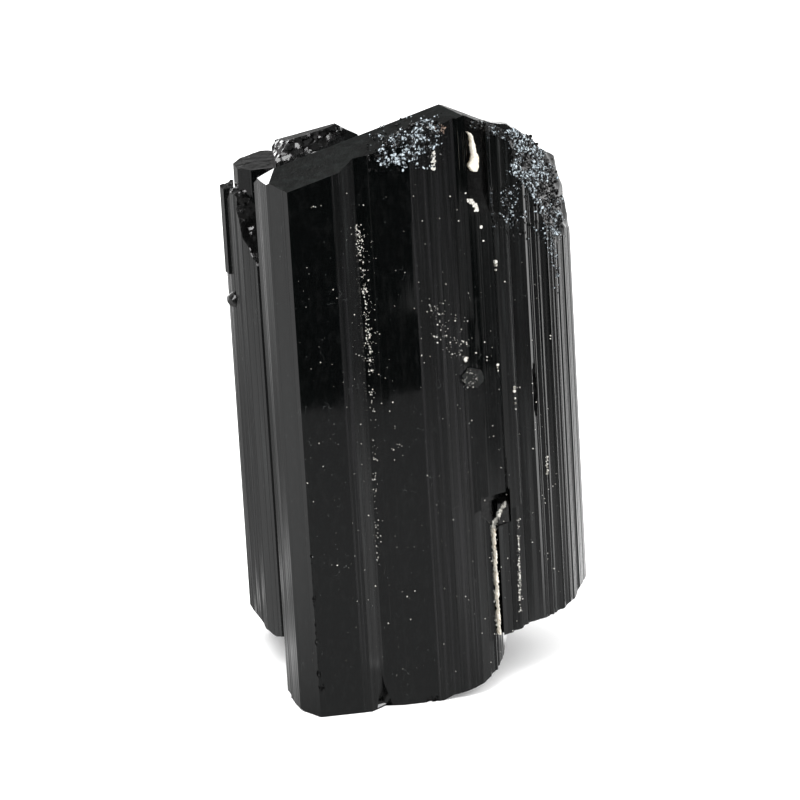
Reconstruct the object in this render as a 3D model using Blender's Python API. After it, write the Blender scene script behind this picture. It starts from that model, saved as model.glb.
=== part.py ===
"""Black tourmaline group: prisms of schorl grown side by side on one long axis, joined in one solid.

Every prism is drawn in the crystals' own frame, in millimetres: p to the right, q to the back and w along
the long axis. At the end the group is leaned as it stands and turned to metres. Its broken base is flat.
Two fillings of cream feldspar sit in grooves of the tourmaline.
"""

import math
import random

import bpy
import bmesh
from mathutils import Matrix, Vector, noise

# ---------------------------------------------------------------------------------------------------
# Driving dimensions, in millimetres and degrees
# ---------------------------------------------------------------------------------------------------
MM = 0.001                      # one millimetre in the units of the finished objects
LEAN_LEFT = 3.25                # the long axis leans to -X by this angle
LEAN_BACK = 2.5                 # and to +Y by this one
FOOT = (-0.43, -1.065)          # where the long axis of the frame meets the floor

# Headings of the prism faces' edges, seen from above. The six second-order faces are 60 degrees apart,
# and a first-order face lies midway between two of them. A vicinal face lies between two neighbours.
FACE_TURN = 17.0
A_FRONT = FACE_TURN
M_RIGHT = FACE_TURN + 30.0
VICINAL = FACE_TURN + 45.0
A_RIGHT = FACE_TURN + 60.0
A_BACK_RIGHT = FACE_TURN + 120.0
M_BACK = FACE_TURN + 150.0
A_BACK = FACE_TURN + 180.0
A_BACK_LEFT = FACE_TURN + 240.0
M_LEFT = FACE_TURN + 270.0
A_LEFT = FACE_TURN + 300.0

# The three pyramid faces of the termination meet at the apex.
APEX = Vector((7.00, -6.07, 58.30))
PYRAMID_SLOPE = 27.35           # between a pyramid face and the base plane
PYRAMID_FRONT = 257.0           # azimuths that the pyramid faces look to
PYRAMID_RIGHT = 17.0
PYRAMID_BACK = 137.0
STEEP_SLOPE = 44.0              # the small steep face at the left of the front pyramid face
STEEP_LEFT = 197.0
STEEP_POINT = (-8.50, -9.37, 54.84)

CAP = 64.0                      # prisms are drawn up to here, and down to the next value, before cutting
FOOTING = -4.0
SLIVER = 0.004                  # edges this short are left over from joining
SAME_POINT = 0.02               # points of an outline closer than this are one
BREAK_DEPTH = 30.0              # how much a rough cut takes away, counted from its plane


# ---------------------------------------------------------------------------------------------------
# Outlines
# ---------------------------------------------------------------------------------------------------
def walk(start, legs):
    """Points reached from start by legs of (heading, length): the faces that a prism shows in turn."""
    points = [Vector(start)]
    for heading, length in legs:
        angle = math.radians(heading)
        points.append(points[-1] + length * Vector((math.cos(angle), math.sin(angle))))
    return points


def stairs(start, end, first, second, count, seed):
    """A striated face from start to end: narrow faces of two headings that take turns."""
    chance = random.Random(seed)
    one = Vector((math.cos(math.radians(first)), math.sin(math.radians(first))))
    two = Vector((math.cos(math.radians(second)), math.sin(math.radians(second))))
    span = Vector(end) - Vector(start)
    spread = one.x * two.y - one.y * two.x
    along_one = (span.x * two.y - span.y * two.x) / spread
    along_two = (one.x * span.y - one.y * span.x) / spread
    shares_one = [chance.uniform(0.3, 1.7) for _ in range(count)]
    shares_two = [chance.uniform(0.3, 1.7) for _ in range(count)]
    points = [Vector(start)]
    for share_one, share_two in zip(shares_one, shares_two):
        points.append(points[-1] + one * along_one * share_one / sum(shares_one))
        points.append(points[-1] + two * along_two * share_two / sum(shares_two))
    return points


def outline(*stretches):
    """One closed outline from stretches of points, without the points that two stretches share."""
    points = []
    for stretch in stretches:
        for point in stretch:
            point = Vector(point)
            if not points or (point - points[-1]).length > SAME_POINT:
                points.append(point)
    if (points[0] - points[-1]).length <= SAME_POINT:
        points.pop()
    return points


# ---------------------------------------------------------------------------------------------------
# Solids
# ---------------------------------------------------------------------------------------------------
def new_object(name, mesh):
    """An object for a mesh, linked to the scene."""
    made = bpy.data.objects.new(name, mesh)
    bpy.context.scene.collection.objects.link(made)
    return made


def from_bmesh(name, shape):
    """An object from a bmesh, with its faces turned outwards."""
    bmesh.ops.recalc_face_normals(shape, faces=shape.faces)
    mesh = bpy.data.meshes.new(name)
    shape.to_mesh(mesh)
    shape.free()
    return new_object(name, mesh)


def prism(name, points, bottom=FOOTING, top=CAP):
    """A prism along the long axis on a closed outline."""
    shape = bmesh.new()
    floor = [shape.verts.new((point[0], point[1], bottom)) for point in points]
    base = shape.faces.new(floor)
    raised = bmesh.ops.extrude_face_region(shape, geom=[base])
    tops = [item for item in raised["geom"] if isinstance(item, bmesh.types.BMVert)]
    bmesh.ops.translate(shape, verts=tops, vec=(0.0, 0.0, top - bottom))
    return from_bmesh(name, shape)


def tilted(azimuth, slope):
    """The direction that a face looks to: slope is counted from the base plane, 180 looks down."""
    flat = math.sin(math.radians(slope))
    return Vector((flat * math.cos(math.radians(azimuth)), flat * math.sin(math.radians(azimuth)),
                   math.cos(math.radians(slope))))


def cut(solid, point, normal):
    """Cut away what lies beyond a plane, and close the solid with a flat face."""
    shape = bmesh.new()
    shape.from_mesh(solid.data)
    everything = shape.verts[:] + shape.edges[:] + shape.faces[:]
    bmesh.ops.bisect_plane(shape, geom=everything, dist=1e-5, plane_co=point, plane_no=normal,
                           clear_outer=True)
    rim = [edge for edge in shape.edges if edge.is_boundary]
    bmesh.ops.holes_fill(shape, edges=rim, sides=0)
    bmesh.ops.recalc_face_normals(shape, faces=shape.faces)
    shape.to_mesh(solid.data)
    shape.free()


def triangulate(solid):
    """Make the faces triangles."""
    shape = bmesh.new()
    shape.from_mesh(solid.data)
    bmesh.ops.triangulate(shape, faces=shape.faces)
    shape.to_mesh(solid.data)
    shape.free()


def close_slivers(solid, shortest):
    """Close up the shortest edges that joining has left over."""
    shape = bmesh.new()
    shape.from_mesh(solid.data)
    bmesh.ops.dissolve_degenerate(shape, edges=shape.edges, dist=shortest)
    shape.to_mesh(solid.data)
    shape.free()


def combine(solid, other, operation):
    """Join another solid to this one, or take it away, and remove the other object.

    The exact solver leaves edges shared by four faces where two rough cuts meet, so this is the manifold one.
    """
    boolean = solid.modifiers.new(operation.lower(), "BOOLEAN")
    boolean.operation = operation
    boolean.object = other
    boolean.solver = "MANIFOLD"
    graph = bpy.context.evaluated_depsgraph_get()
    result = bpy.data.meshes.new_from_object(solid.evaluated_get(graph))
    solid.modifiers.clear()
    solid.data = result
    bpy.data.objects.remove(other)
    triangulate(solid)


def frame_at(point, normal, turn=0.0):
    """A matrix whose Z looks along normal at a point, turned about it."""
    facing = Vector(normal).to_track_quat("Z", "Y").to_matrix().to_4x4()
    return Matrix.Translation(point) @ facing @ Matrix.Rotation(math.radians(turn), 4, "Z")


def break_off(solid, point, normal, relief, cell, reach, seed):
    """Cut away what lies beyond a rough plane: a broken face of low angular lumps.

    relief is the height of the lumps, cell their width, and reach half the width of the whole cut.
    """
    middle = sum((Vector(corner) for corner in solid.bound_box), Vector()) / 8.0
    nearest = middle - normal * (middle - Vector(point)).dot(normal)
    shape = bmesh.new()
    segments = round(2.0 * reach / cell)
    bmesh.ops.create_grid(shape, x_segments=segments, y_segments=segments, size=reach)
    for vert in shape.verts:
        place = Vector((vert.co.x, vert.co.y, 0.0)) * (0.37 / cell) + Vector((0.0, 0.0, seed * 7.3))
        vert.co.z = relief * (noise.noise(place) + 0.5 * noise.noise(place * 2.3))
    raised = bmesh.ops.extrude_face_region(shape, geom=shape.faces[:])
    for item in raised["geom"]:
        if isinstance(item, bmesh.types.BMVert):
            item.co.z = BREAK_DEPTH
    cutter = from_bmesh("broken_off", shape)
    cutter.data.transform(frame_at(nearest, normal))
    combine(solid, cutter, "DIFFERENCE")


def block(name, centre, size, normal, turn):
    """A small block with one face along normal: a grain of the crust, or a cutter."""
    shape = bmesh.new()
    bmesh.ops.create_cube(shape, size=1.0)
    bmesh.ops.scale(shape, verts=shape.verts, vec=size)
    made = from_bmesh(name, shape)
    made.data.transform(frame_at(centre, normal, turn))
    return made


def on_pyramid(p, q, azimuth):
    """The point above (p, q) on a pyramid face through the apex."""
    angle = math.radians(azimuth)
    away = (p - APEX.x) * math.cos(angle) + (q - APEX.y) * math.sin(angle)
    return Vector((p, q, APEX.z - math.tan(math.radians(PYRAMID_SLOPE)) * away))


def terminate(solid, azimuth, rise=0.0):
    """Cut a prism with one pyramid face, rise above the one through the apex."""
    cut(solid, APEX + Vector((0.0, 0.0, rise)), tilted(azimuth, PYRAMID_SLOPE))


LEANED = (Matrix.Rotation(-math.radians(LEAN_BACK), 4, "X")
          @ Matrix.Rotation(-math.radians(LEAN_LEFT), 4, "Y"))
FLOOR_UP = (LEANED.to_3x3().transposed() @ Vector((0.0, 0.0, 1.0)))


def floor_height(p, q):
    """The w at which the floor lies under (p, q)."""
    return -(FLOOR_UP.x * p + FLOOR_UP.y * q) / FLOOR_UP.z


# ---------------------------------------------------------------------------------------------------
# The tourmaline
# ---------------------------------------------------------------------------------------------------
def front_prism():
    """The longest prism, which stands on the floor and carries the front pyramid face and the apex."""
    front = [(-7.73, -14.50), (-2.71, -13.02), (-1.42, -11.43), (0.32, -11.30), (1.69, -10.81),
             (3.90, -10.22), (6.15, -9.40), (8.35, -8.30)]
    right = walk(front[-1], [(M_RIGHT, 1.10), (A_RIGHT, 0.55), (M_RIGHT, 0.80), (A_RIGHT, 3.20)])
    back = [(11.0, 2.0), (7.0, 7.0), (-3.0, 8.5), (-9.0, 5.0), (-10.4, -4.2)]
    left = [(-11.12, -7.30), (-10.62, -9.00), (-10.72, -9.40), (-9.75, -12.60), front[0]]
    solid = prism("front_prism", outline(front, right, back, left))
    for azimuth in (PYRAMID_FRONT, PYRAMID_RIGHT, PYRAMID_BACK):
        terminate(solid, azimuth)
    cut(solid, STEEP_POINT, tilted(STEEP_LEFT, STEEP_SLOPE))
    cut(solid, (0.0, 0.0, 0.0), -FLOOR_UP)
    # The rim of the base is chipped away under the right edge and at the left corner.
    break_off(solid, (4.6, -9.6, floor_height(4.6, -9.6)), tilted(28.0, 180.0 - 14.0), 0.25, 1.8, 20.0, 3)
    break_off(solid, (-8.5, -13.7, floor_height(-8.5, -13.7)), tilted(200.0, 180.0 - 21.0), 0.2, 1.8, 20.0, 4)
    return solid


def right_prism():
    """The right prism: its front is a flight of narrow faces, its upper right edge is broken off."""
    front = walk((8.60, -7.95), [
        (M_RIGHT, 1.50), (A_FRONT, 0.80), (A_RIGHT, 0.80), (M_RIGHT, 1.45), (A_RIGHT, 0.35),
        (A_FRONT, 0.85), (M_RIGHT, 0.95), (A_RIGHT, 0.35), (A_FRONT, 0.68), (M_RIGHT, 0.65),
        (A_FRONT, 0.45), (VICINAL, 0.50), (A_FRONT, 0.10), (A_RIGHT, 0.30), (M_RIGHT, 0.20),
        (VICINAL, 0.16), (A_RIGHT, 0.30), (A_FRONT, 0.36), (A_RIGHT, 0.38), (A_FRONT, 0.16),
        (VICINAL, 0.60), (M_RIGHT, 0.35), (A_FRONT, 0.42), (A_RIGHT, 0.90), (M_RIGHT, 0.20),
        (VICINAL, 0.35), (A_FRONT, 0.16), (A_RIGHT, 0.70), (VICINAL, 0.20), (M_RIGHT, 0.25),
        (A_RIGHT, 1.90), (M_RIGHT, 0.30), (A_RIGHT, 3.40)])
    back = stairs(front[-1], (13.4, 13.1), A_BACK_RIGHT, M_BACK, 6, 11)
    rest = stairs(back[-1], (8.2, 12.6), M_BACK, A_BACK, 4, 12)
    solid = prism("right_prism", outline(front, back, rest, [(5.0, 5.0), (4.0, -3.0)]))
    for azimuth in (PYRAMID_FRONT, PYRAMID_RIGHT, PYRAMID_BACK):
        terminate(solid, azimuth)
    break_off(solid, (17.42, 8.0, 50.3), tilted(345.0, 77.0), 0.45, 1.2, 34.0, 5)
    break_off(solid, (11.0, -4.0, 4.4), tilted(40.0, 180.0 - 3.0), 0.5, 1.5, 18.0, 6)
    break_off(solid, (18.6, 6.6, 5.2), tilted(350.0, 180.0 - 42.0), 0.4, 1.5, 30.0, 7)
    return solid


def ledge():
    """A flat rib in front of the joint of the two prisms. Its lower end is broken off on the slant."""
    solid = prism("ledge", [(8.2, -8.30), (8.60, -8.45), (9.90, -7.95), (11.45, -6.75), (11.75, -5.60),
                            (11.2, -3.0), (8.0, -5.0)], 8.0)
    terminate(solid, PYRAMID_RIGHT)
    terminate(solid, PYRAMID_FRONT)
    break_off(solid, (9.4, -8.1, 18.1), tilted(340.0, 180.0 - 27.0), 0.35, 0.9, 18.0, 8)
    return solid


def narrow_rib():
    """A second, rounded rib right of the ledge, with a blunt lower end and a broken upper one."""
    solid = prism("narrow_rib", [(11.65, -5.85), (12.20, -5.60), (12.80, -5.12), (12.98, -4.30),
                                 (13.25, -3.40), (12.90, -2.0), (11.2, -3.6)], 17.4, 52.0)
    break_off(solid, (12.4, -4.8, 46.8), tilted(300.0, 40.0), 0.5, 0.9, 14.0, 9)
    return solid


def left_prism():
    """The left prism stands behind the front one. Its foot is broken off and slopes up to the back."""
    front = walk((-15.00, 6.20), [
        (M_LEFT, 2.20), (A_LEFT, 0.50), (A_BACK_LEFT, 0.80), (M_LEFT, 1.20), (A_LEFT, 0.60),
        (A_BACK_LEFT, 0.60), (M_LEFT, 1.30), (A_LEFT, 1.95)])
    back = stairs((-8.0, 13.0), (-12.2, 11.8), M_BACK + 30.0, A_BACK_LEFT, 4, 21)
    side = stairs(back[-1], front[0], A_BACK_LEFT - 30.0, A_BACK_LEFT, 6, 22)
    solid = prism("left_prism", outline(back, side, front, [(-9.0, -1.6), (-5.0, 5.0), (-5.5, 12.0)]))
    break_off(solid, (-11.4, 1.0, 49.6), tilted(150.0, 14.0), 1.3, 1.6, 18.0, 23)
    break_off(solid, (-11.7, 0.9, 46.6), tilted(295.0, 60.0), 0.4, 0.9, 26.0, 27)
    break_off(solid, (-11.5, -2.0, 4.0), tilted(250.0, 180.0 - 8.0), 0.4, 1.5, 18.0, 24)
    break_off(solid, (-14.7, 5.2, 5.2), tilted(190.0, 180.0 - 48.0), 0.4, 1.5, 32.0, 25)
    return solid


def pillar():
    """A small prism on the shoulder of the left one. Its top is flat and nearly level."""
    solid = prism("pillar", [(-13.60, 4.60), (-13.10, 2.40), (-11.75, 1.75), (-9.60, 1.90), (-8.4, 5.0),
                             (-9.6, 7.6), (-11.0, 7.9), (-12.9, 6.1)], 44.0)
    cut(solid, (-13.5, 4.6, 51.35), tilted(250.0, 5.0))
    break_off(solid, (-12.4, 1.4, 47.2), tilted(262.0, 180.0 - 50.0), 0.5, 1.0, 12.0, 31)
    return solid


def left_corner():
    """The splinter that still stands at the outer left corner."""
    solid = prism("left_corner", [(-15.15, 6.10), (-14.75, 4.90), (-14.0, 4.9), (-13.8, 6.8)], 40.0)
    cut(solid, (-14.9, 5.6, 49.3), tilted(280.0, 24.0))
    return solid


def glassy_chunk():
    """A broken glassy crystal behind the front pyramid face, a little higher than its back edge."""
    solid = prism("glassy_chunk", [(-8.90, -7.60), (-5.6, -7.95), (-2.2, -7.30), (-0.9, -5.4), (-2.0, -3.4),
                                   (-6.5, -3.2), (-9.3, -4.6)], 44.0)
    cut(solid, (-3.3, -7.0, 57.00), tilted(187.0, 17.0))
    cut(solid, (-3.0, -6.6, 57.10), tilted(15.0, 32.0))
    cut(solid, (-3.3, -6.6, 57.15), tilted(100.0, 30.0))
    break_off(solid, (-6.0, -7.4, 56.55), tilted(200.0, 21.0), 0.8, 1.0, 10.0, 33)
    break_off(solid, (-5.2, -7.30, 55.1), tilted(262.0, 66.0), 0.5, 1.3, 10.0, 34)
    return solid


def back_prisms():
    """Prisms that close the back of the group, each with its own height and pyramid."""
    middle = prism("middle_back", outline(
        stairs((13.6, 12.9), (9.4, 14.2), A_BACK_RIGHT, M_BACK + 20.0, 4, 41),
        stairs((9.4, 14.2), (3.4, 13.4), M_BACK, A_BACK, 5, 42), [(2.0, 6.0), (12.0, 5.0)]))
    terminate(middle, PYRAMID_RIGHT, -0.6)
    terminate(middle, PYRAMID_BACK, 0.3)
    break_off(middle, (8.0, 12.0, 52.4), tilted(80.0, 30.0), 0.8, 1.6, 20.0, 43)
    break_off(middle, (8.0, 12.0, 2.6), tilted(95.0, 180.0 - 9.0), 0.6, 1.8, 18.0, 44)
    left = prism("left_back", outline(
        stairs((3.8, 12.4), (-2.4, 13.1), M_BACK, A_BACK, 5, 45),
        stairs((-2.4, 13.1), (-8.6, 12.3), M_BACK, A_BACK + 8.0, 5, 46), [(-9.0, 4.0), (3.0, 3.0)]))
    terminate(left, PYRAMID_BACK, 1.2)
    terminate(left, PYRAMID_RIGHT, 1.0)
    break_off(left, (-3.0, 12.0, 6.4), tilted(100.0, 180.0 - 24.0), 0.6, 1.8, 24.0, 47)
    return [middle, left]


def crusted_ridge():
    """A low ridge of later growth on the right pyramid face. It is highest in the middle."""
    solid = prism("crusted_ridge", [(10.9, -1.8), (12.4, -3.2), (14.4, -1.6), (15.6, 0.4), (15.2, 1.6),
                                    (13.0, 1.9), (11.0, 1.2)], 44.0)
    break_off(solid, (13.1, 1.0, 54.75), tilted(44.0, 12.2), 0.15, 0.9, 24.0, 52)
    break_off(solid, (14.0, 1.0, 54.20), tilted(9.5, 42.4), 0.15, 0.9, 24.0, 53)
    return solid


def side_crystal():
    """A small crystal that grew outwards across the striations. Its end is a blunt, slanted face."""
    across = Vector((0.30, -0.92, 0.10))
    shape = bmesh.new()
    bmesh.ops.create_cone(shape, cap_ends=True, segments=6, radius1=1.18, radius2=1.02, depth=4.4)
    solid = from_bmesh("side_crystal", shape)
    solid.data.transform(frame_at((8.40, -7.35, 31.60), across, 14.0))
    cut(solid, (8.15, -9.00, 31.60), Vector((-0.10, -0.98, 0.14)))
    return solid


def nub():
    """A rounded lump on the outer edge of the left prism."""
    shape = bmesh.new()
    bmesh.ops.create_icosphere(shape, subdivisions=1, radius=0.85)
    solid = from_bmesh("nub", shape)
    solid.data.transform(Matrix.Translation((-14.25, 4.3, 37.6)) @ Matrix.Diagonal((1.0, 1.0, 0.9, 1.0)))
    return solid


def crust(solid):
    """The coarsest grains of the crystal crusts on the front pyramid face, the shoulder and the ridge.

    Each grain is a small block set a little into the surface nearest to its place.
    """
    chance = random.Random(5)
    grains = []
    for _ in range(24):
        p = chance.uniform(1.4, 6.8)
        q = -10.75 + 0.31 * (p - 1.69) + chance.uniform(0.0, 1.9)
        grains.append((on_pyramid(p, q, PYRAMID_FRONT), chance.uniform(0.40, 0.75)))
    for _ in range(30):
        along = chance.random()
        down = chance.uniform(0.0, 1.0) ** 1.4
        spot = Vector((15.2 + 3.1 * along, -1.2 + 7.6 * along, 53.0 - 2.2 * along))
        spot += Vector((0.12, -0.05, -1.0)) * (6.0 * down * (1.0 - 0.5 * along))
        grains.append((spot, chance.uniform(0.45, 0.8)))
    for _ in range(12):
        p = chance.uniform(11.0, 15.4)
        q = chance.uniform(-2.2, 1.4)
        grains.append((on_pyramid(p, q, PYRAMID_RIGHT) + Vector((0.0, 0.0, 0.8)), chance.uniform(0.4, 0.7)))
    solids = []
    for spot, size in grains:
        _, place, outwards, _ = solid.closest_point_on_mesh(spot)
        facing = Vector([chance.uniform(-1.0, 1.0) for _ in range(3)]).normalized()
        stretch = (size, size * chance.uniform(0.7, 1.0), size * chance.uniform(0.8, 1.3))
        centre = place - outwards * (0.15 * size)
        solids.append(block("grain", centre, stretch, facing, chance.uniform(0.0, 90.0)))
    return solids


def grooves():
    """Cutters: the grooves that hold the feldspar, the recess under the ledge, the pit and the base notch."""
    blade_groove = prism("blade_groove", [(9.50, -9.9), (11.35, -9.3), (11.35, -6.25), (9.10, -7.35),
                                          (9.50, -8.50)], 47.0, 62.0)
    cut(blade_groove, (10.40, -7.56, 47.6), tilted(128.0, 105.0))
    recess = prism("recess", [(8.95, -8.9), (11.9, -7.4), (11.9, -4.15), (9.05, -7.05)], 15.6, 19.4)
    cut(recess, (9.0, -7.4, 17.2), tilted(170.0, 180.0 - 58.0))
    seam_groove = prism("seam_groove", [(9.75, -7.6), (10.60, -7.0), (10.60, -4.85), (9.85, -5.40)], -2.0, 18.4)
    crack = prism("crack", [(11.50, -7.2), (11.75, -7.1), (11.75, -5.0), (11.60, -5.0)], 16.8, 22.6)
    pit = block("pit", (15.05, -2.05, 28.2), (0.8, 1.1, 5.4), (0.0, 0.0, 1.0), 52.0)
    shape = bmesh.new()
    bmesh.ops.create_cone(shape, cap_ends=True, segments=5, radius1=1.0, radius2=0.12, depth=3.2)
    notch = from_bmesh("notch", shape)
    notch.data.transform(Matrix.Translation((-1.60, -11.70, 1.2)))
    return [blade_groove, recess, seam_groove, crack, pit, notch]


def tourmaline_crystal():
    """All the prisms, ribs, lumps and grains as one solid."""
    solid = front_prism()
    joined = [right_prism(), left_prism(), ledge(), narrow_rib(), pillar(), left_corner(), glassy_chunk()]
    joined += back_prisms()
    for other in joined:
        combine(solid, other, "UNION")
    # Behind the right pyramid face the group is broken down towards the back.
    break_off(solid, (10.0, -2.0, 56.2), tilted(60.0, 26.6), 0.25, 1.6, 34.0, 54)
    for other in (crusted_ridge(), side_crystal(), nub()):
        combine(solid, other, "UNION")
    for cutter in grooves():
        combine(solid, cutter, "DIFFERENCE")
    for grain in crust(solid):
        combine(solid, grain, "UNION")
    solid.name = "tourmaline_crystal"
    return solid


# ---------------------------------------------------------------------------------------------------
# The feldspar
# ---------------------------------------------------------------------------------------------------
def feldspar_blade():
    """The cream blade in the upper groove: thin above, with a wide foot."""
    front = [(0.28, 4.0), (0.62, 3.9), (0.70, 2.8), (0.86, 2.2), (0.82, 0.0), (0.36, 0.05),
             (0.0, 0.35), (0.0, 0.75), (0.36, 1.0), (0.44, 2.6), (0.30, 3.4)]
    shape = bmesh.new()
    face = shape.faces.new([shape.verts.new((across, 0.0, up)) for across, up in front])
    raised = bmesh.ops.extrude_face_region(shape, geom=[face])
    backs = [item for item in raised["geom"] if isinstance(item, bmesh.types.BMVert)]
    bmesh.ops.translate(shape, verts=backs, vec=(0.0, 0.9, 0.0))
    solid = from_bmesh("feldspar_blade", shape)
    solid.data.transform(Matrix.Translation((9.75, -8.35, 51.9)) @ Matrix.Rotation(0.42, 4, "Z"))
    return solid


def feldspar_seam():
    """The cream filling of the seam between the two prisms: a thin uneven strip."""
    chance = random.Random(9)
    shape = bmesh.new()
    rings = []
    for step in range(19):
        height = 4.6 + 0.74 * step
        half = chance.uniform(0.10, 0.17)
        sway = chance.uniform(-0.04, 0.04)
        corners = ((sway - half, 0.0), (sway + half, 0.0), (sway + half, 0.55), (sway - half, 0.55))
        rings.append([shape.verts.new((across, deep, height)) for across, deep in corners])
    for low, high in zip(rings, rings[1:]):
        for side in range(4):
            shape.faces.new((low[side], low[side - 1], high[side - 1], high[side]))
    shape.faces.new(rings[0])
    shape.faces.new(rings[-1])
    solid = from_bmesh("feldspar_seam", shape)
    solid.data.transform(Matrix.Translation((10.25, -6.55, 0.0)) @ Matrix.Rotation(0.62, 4, "Z"))
    return solid


# ---------------------------------------------------------------------------------------------------
# Finishing
# ---------------------------------------------------------------------------------------------------
def stand(solid):
    """Lean a solid as the group stands, and turn millimetres to metres."""
    foot = Matrix.Translation((FOOT[0] * MM, FOOT[1] * MM, 0.0))
    solid.data.transform(foot @ LEANED @ Matrix.Scale(MM, 4))


def finish(solid, colour, roughness):
    """One Principled material for the whole solid."""
    material = bpy.data.materials.new(solid.name)
    material.use_nodes = True
    shader = material.node_tree.nodes["Principled BSDF"]
    shader.inputs["Base Color"].default_value = (*colour, 1.0)
    shader.inputs["Roughness"].default_value = roughness
    shader.inputs["Metallic"].default_value = 0.0
    solid.data.materials.clear()
    solid.data.materials.append(material)


for old in list(bpy.data.objects):
    bpy.data.objects.remove(old)

tourmaline = tourmaline_crystal()
close_slivers(tourmaline, SLIVER)
blade = feldspar_blade()
seam = feldspar_seam()
for piece in (tourmaline, blade, seam):
    stand(piece)
finish(tourmaline, (0.010, 0.011, 0.011), 0.15)
finish(blade, (0.78, 0.74, 0.66), 0.6)
finish(seam, (0.78, 0.74, 0.66), 0.6)
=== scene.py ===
import math
import random

import bpy
import numpy as np
from mathutils import Euler, Matrix, Vector, noise
from mathutils.bvhtree import BVHTree


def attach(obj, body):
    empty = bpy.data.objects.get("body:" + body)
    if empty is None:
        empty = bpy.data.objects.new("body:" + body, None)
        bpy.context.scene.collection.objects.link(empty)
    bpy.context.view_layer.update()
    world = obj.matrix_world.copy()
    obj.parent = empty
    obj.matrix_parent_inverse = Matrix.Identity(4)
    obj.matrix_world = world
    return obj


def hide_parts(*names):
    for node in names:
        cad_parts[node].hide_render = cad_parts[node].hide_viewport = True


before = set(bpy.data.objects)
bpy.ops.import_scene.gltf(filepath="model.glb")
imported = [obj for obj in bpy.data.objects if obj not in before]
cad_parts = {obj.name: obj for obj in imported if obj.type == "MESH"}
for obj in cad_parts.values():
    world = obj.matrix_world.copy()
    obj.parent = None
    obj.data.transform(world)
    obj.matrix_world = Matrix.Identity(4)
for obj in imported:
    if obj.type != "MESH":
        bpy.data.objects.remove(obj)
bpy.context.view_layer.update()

# ---------------------------------------------------------------------------------------------------
# The front crystal
# The longest prism of the group: black tourmaline (schorl), grown straight up. Its faces carry fine ribs
# along the long axis. It is drawn in the crystals' own frame, in millimetres: x to the right, y to the
# back and z along the long axis. The whole group is turned to metres and leaned once it is joined.
# ---------------------------------------------------------------------------------------------------
MM = 0.001
LEAN_LEFT = math.radians(3.25)
LEAN_BACK = math.radians(2.5)
FOOT_OF_AXIS = Vector((-0.43, -1.065, 0.0)) * MM
LEANED = Matrix.Rotation(-LEAN_BACK, 4, "X") @ Matrix.Rotation(-LEAN_LEFT, 4, "Y")
STANDING = Matrix.Translation(FOOT_OF_AXIS) @ LEANED @ Matrix.Scale(MM, 4)
FLOOR_UP = LEANED.to_3x3().transposed() @ Vector((0.0, 0.0, 1.0))

# Headings of the prism faces' edges, counted from x: alternate families lie 30 degrees apart.
A_FRONT = 17.0
M_RIGHT = A_FRONT + 30.0
A_RIGHT = A_FRONT + 60.0
A_BACK_RIGHT = A_FRONT + 120.0
M_BACK = A_FRONT + 150.0
A_BACK = A_FRONT + 180.0
A_BACK_LEFT = A_FRONT + 240.0
M_LEFT = A_FRONT + 270.0
A_LEFT = A_FRONT + 300.0

# The three low pyramid faces meet at the apex. Azimuths say where a face looks.
APEX = Vector((7.00, -6.07, 58.30))
PYRAMID_SLOPE = 27.35
PYRAMID_FRONT = 257.0
PYRAMID_RIGHT = 17.0
PYRAMID_BACK = 137.0

# The finishes of a crystal's faces are its material slots, in this order.
FINISHES = 5
SMOOTH, RIBBED, SATIN, ETCHED, BROKEN = range(FINISHES)


def walk(start, legs):
    """Corners reached from start by legs of heading and length, in millimetres."""
    corners = [Vector(start)]
    for heading, length in legs:
        angle = math.radians(heading)
        corners.append(corners[-1] + length * Vector((math.cos(angle), math.sin(angle))))
    return corners


def stairs(start, end, first, second, count, seed):
    """Corners of a stepped face: narrow faces of two headings that take turns."""
    chance = random.Random(seed)
    one = Vector((math.cos(math.radians(first)), math.sin(math.radians(first))))
    two = Vector((math.cos(math.radians(second)), math.sin(math.radians(second))))
    span = Vector(end) - Vector(start)
    spread = one.x * two.y - one.y * two.x
    along_one = (span.x * two.y - span.y * two.x) / spread
    along_two = (one.x * span.y - one.y * span.x) / spread
    shares_one = [chance.uniform(0.3, 1.7) for _ in range(count)]
    shares_two = [chance.uniform(0.3, 1.7) for _ in range(count)]
    corners = [Vector(start)]
    for share_one, share_two in zip(shares_one, shares_two):
        corners.append(corners[-1] + one * along_one * share_one / sum(shares_one))
        corners.append(corners[-1] + two * along_two * share_two / sum(shares_two))
    return corners


def ribs(corners, pitch, depth, seed, finish=RIBBED):
    """Fine growth ribs between corners: flat ribs of uneven width and level, joined by narrow faces that
    are turned by 30 degrees, as the next prism form is.

    pitch is the mean width and depth the greatest depth of a rib, in millimetres. Each point comes with the
    finish of the face that starts there. The last corner is left out.
    """
    chance = random.Random(seed)
    points = []
    for start, end in zip(corners, corners[1:]):
        start, end = Vector(start), Vector(end)
        length = (end - start).length
        along = (end - start).normalized()
        inwards = Vector((-along.y, along.x))
        points.append((start, finish))
        place, level = 0.0, 0.0
        while True:
            width = pitch * chance.uniform(0.3, 1.7)
            target = depth * chance.random() ** 1.5
            riser = abs(target - level) / math.tan(math.radians(30.0))
            if place + width + riser > length - 0.4 * pitch:
                break
            points.append((start + along * (place + width) + inwards * level, finish))
            points.append((start + along * (place + width + riser) + inwards * target, finish))
            place += width + riser
            level = target
    return points


def plain(corners, seed):
    """A stretch without ribs, mostly one that lies hidden in the next crystal."""
    return ribs(corners, 4.0, 0.0, seed)


SAME_PLACE = 0.008      # points nearer than this are one point


def closed(*stretches):
    """One closed outline from stretches, without the points that two stretches share."""
    points = []
    for stretch in stretches:
        for place, finish in stretch:
            if not points or (place - points[-1][0]).length > SAME_PLACE:
                points.append((place, finish))
    if (points[0][0] - points[-1][0]).length <= SAME_PLACE:
        points.pop()
    return points


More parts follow.
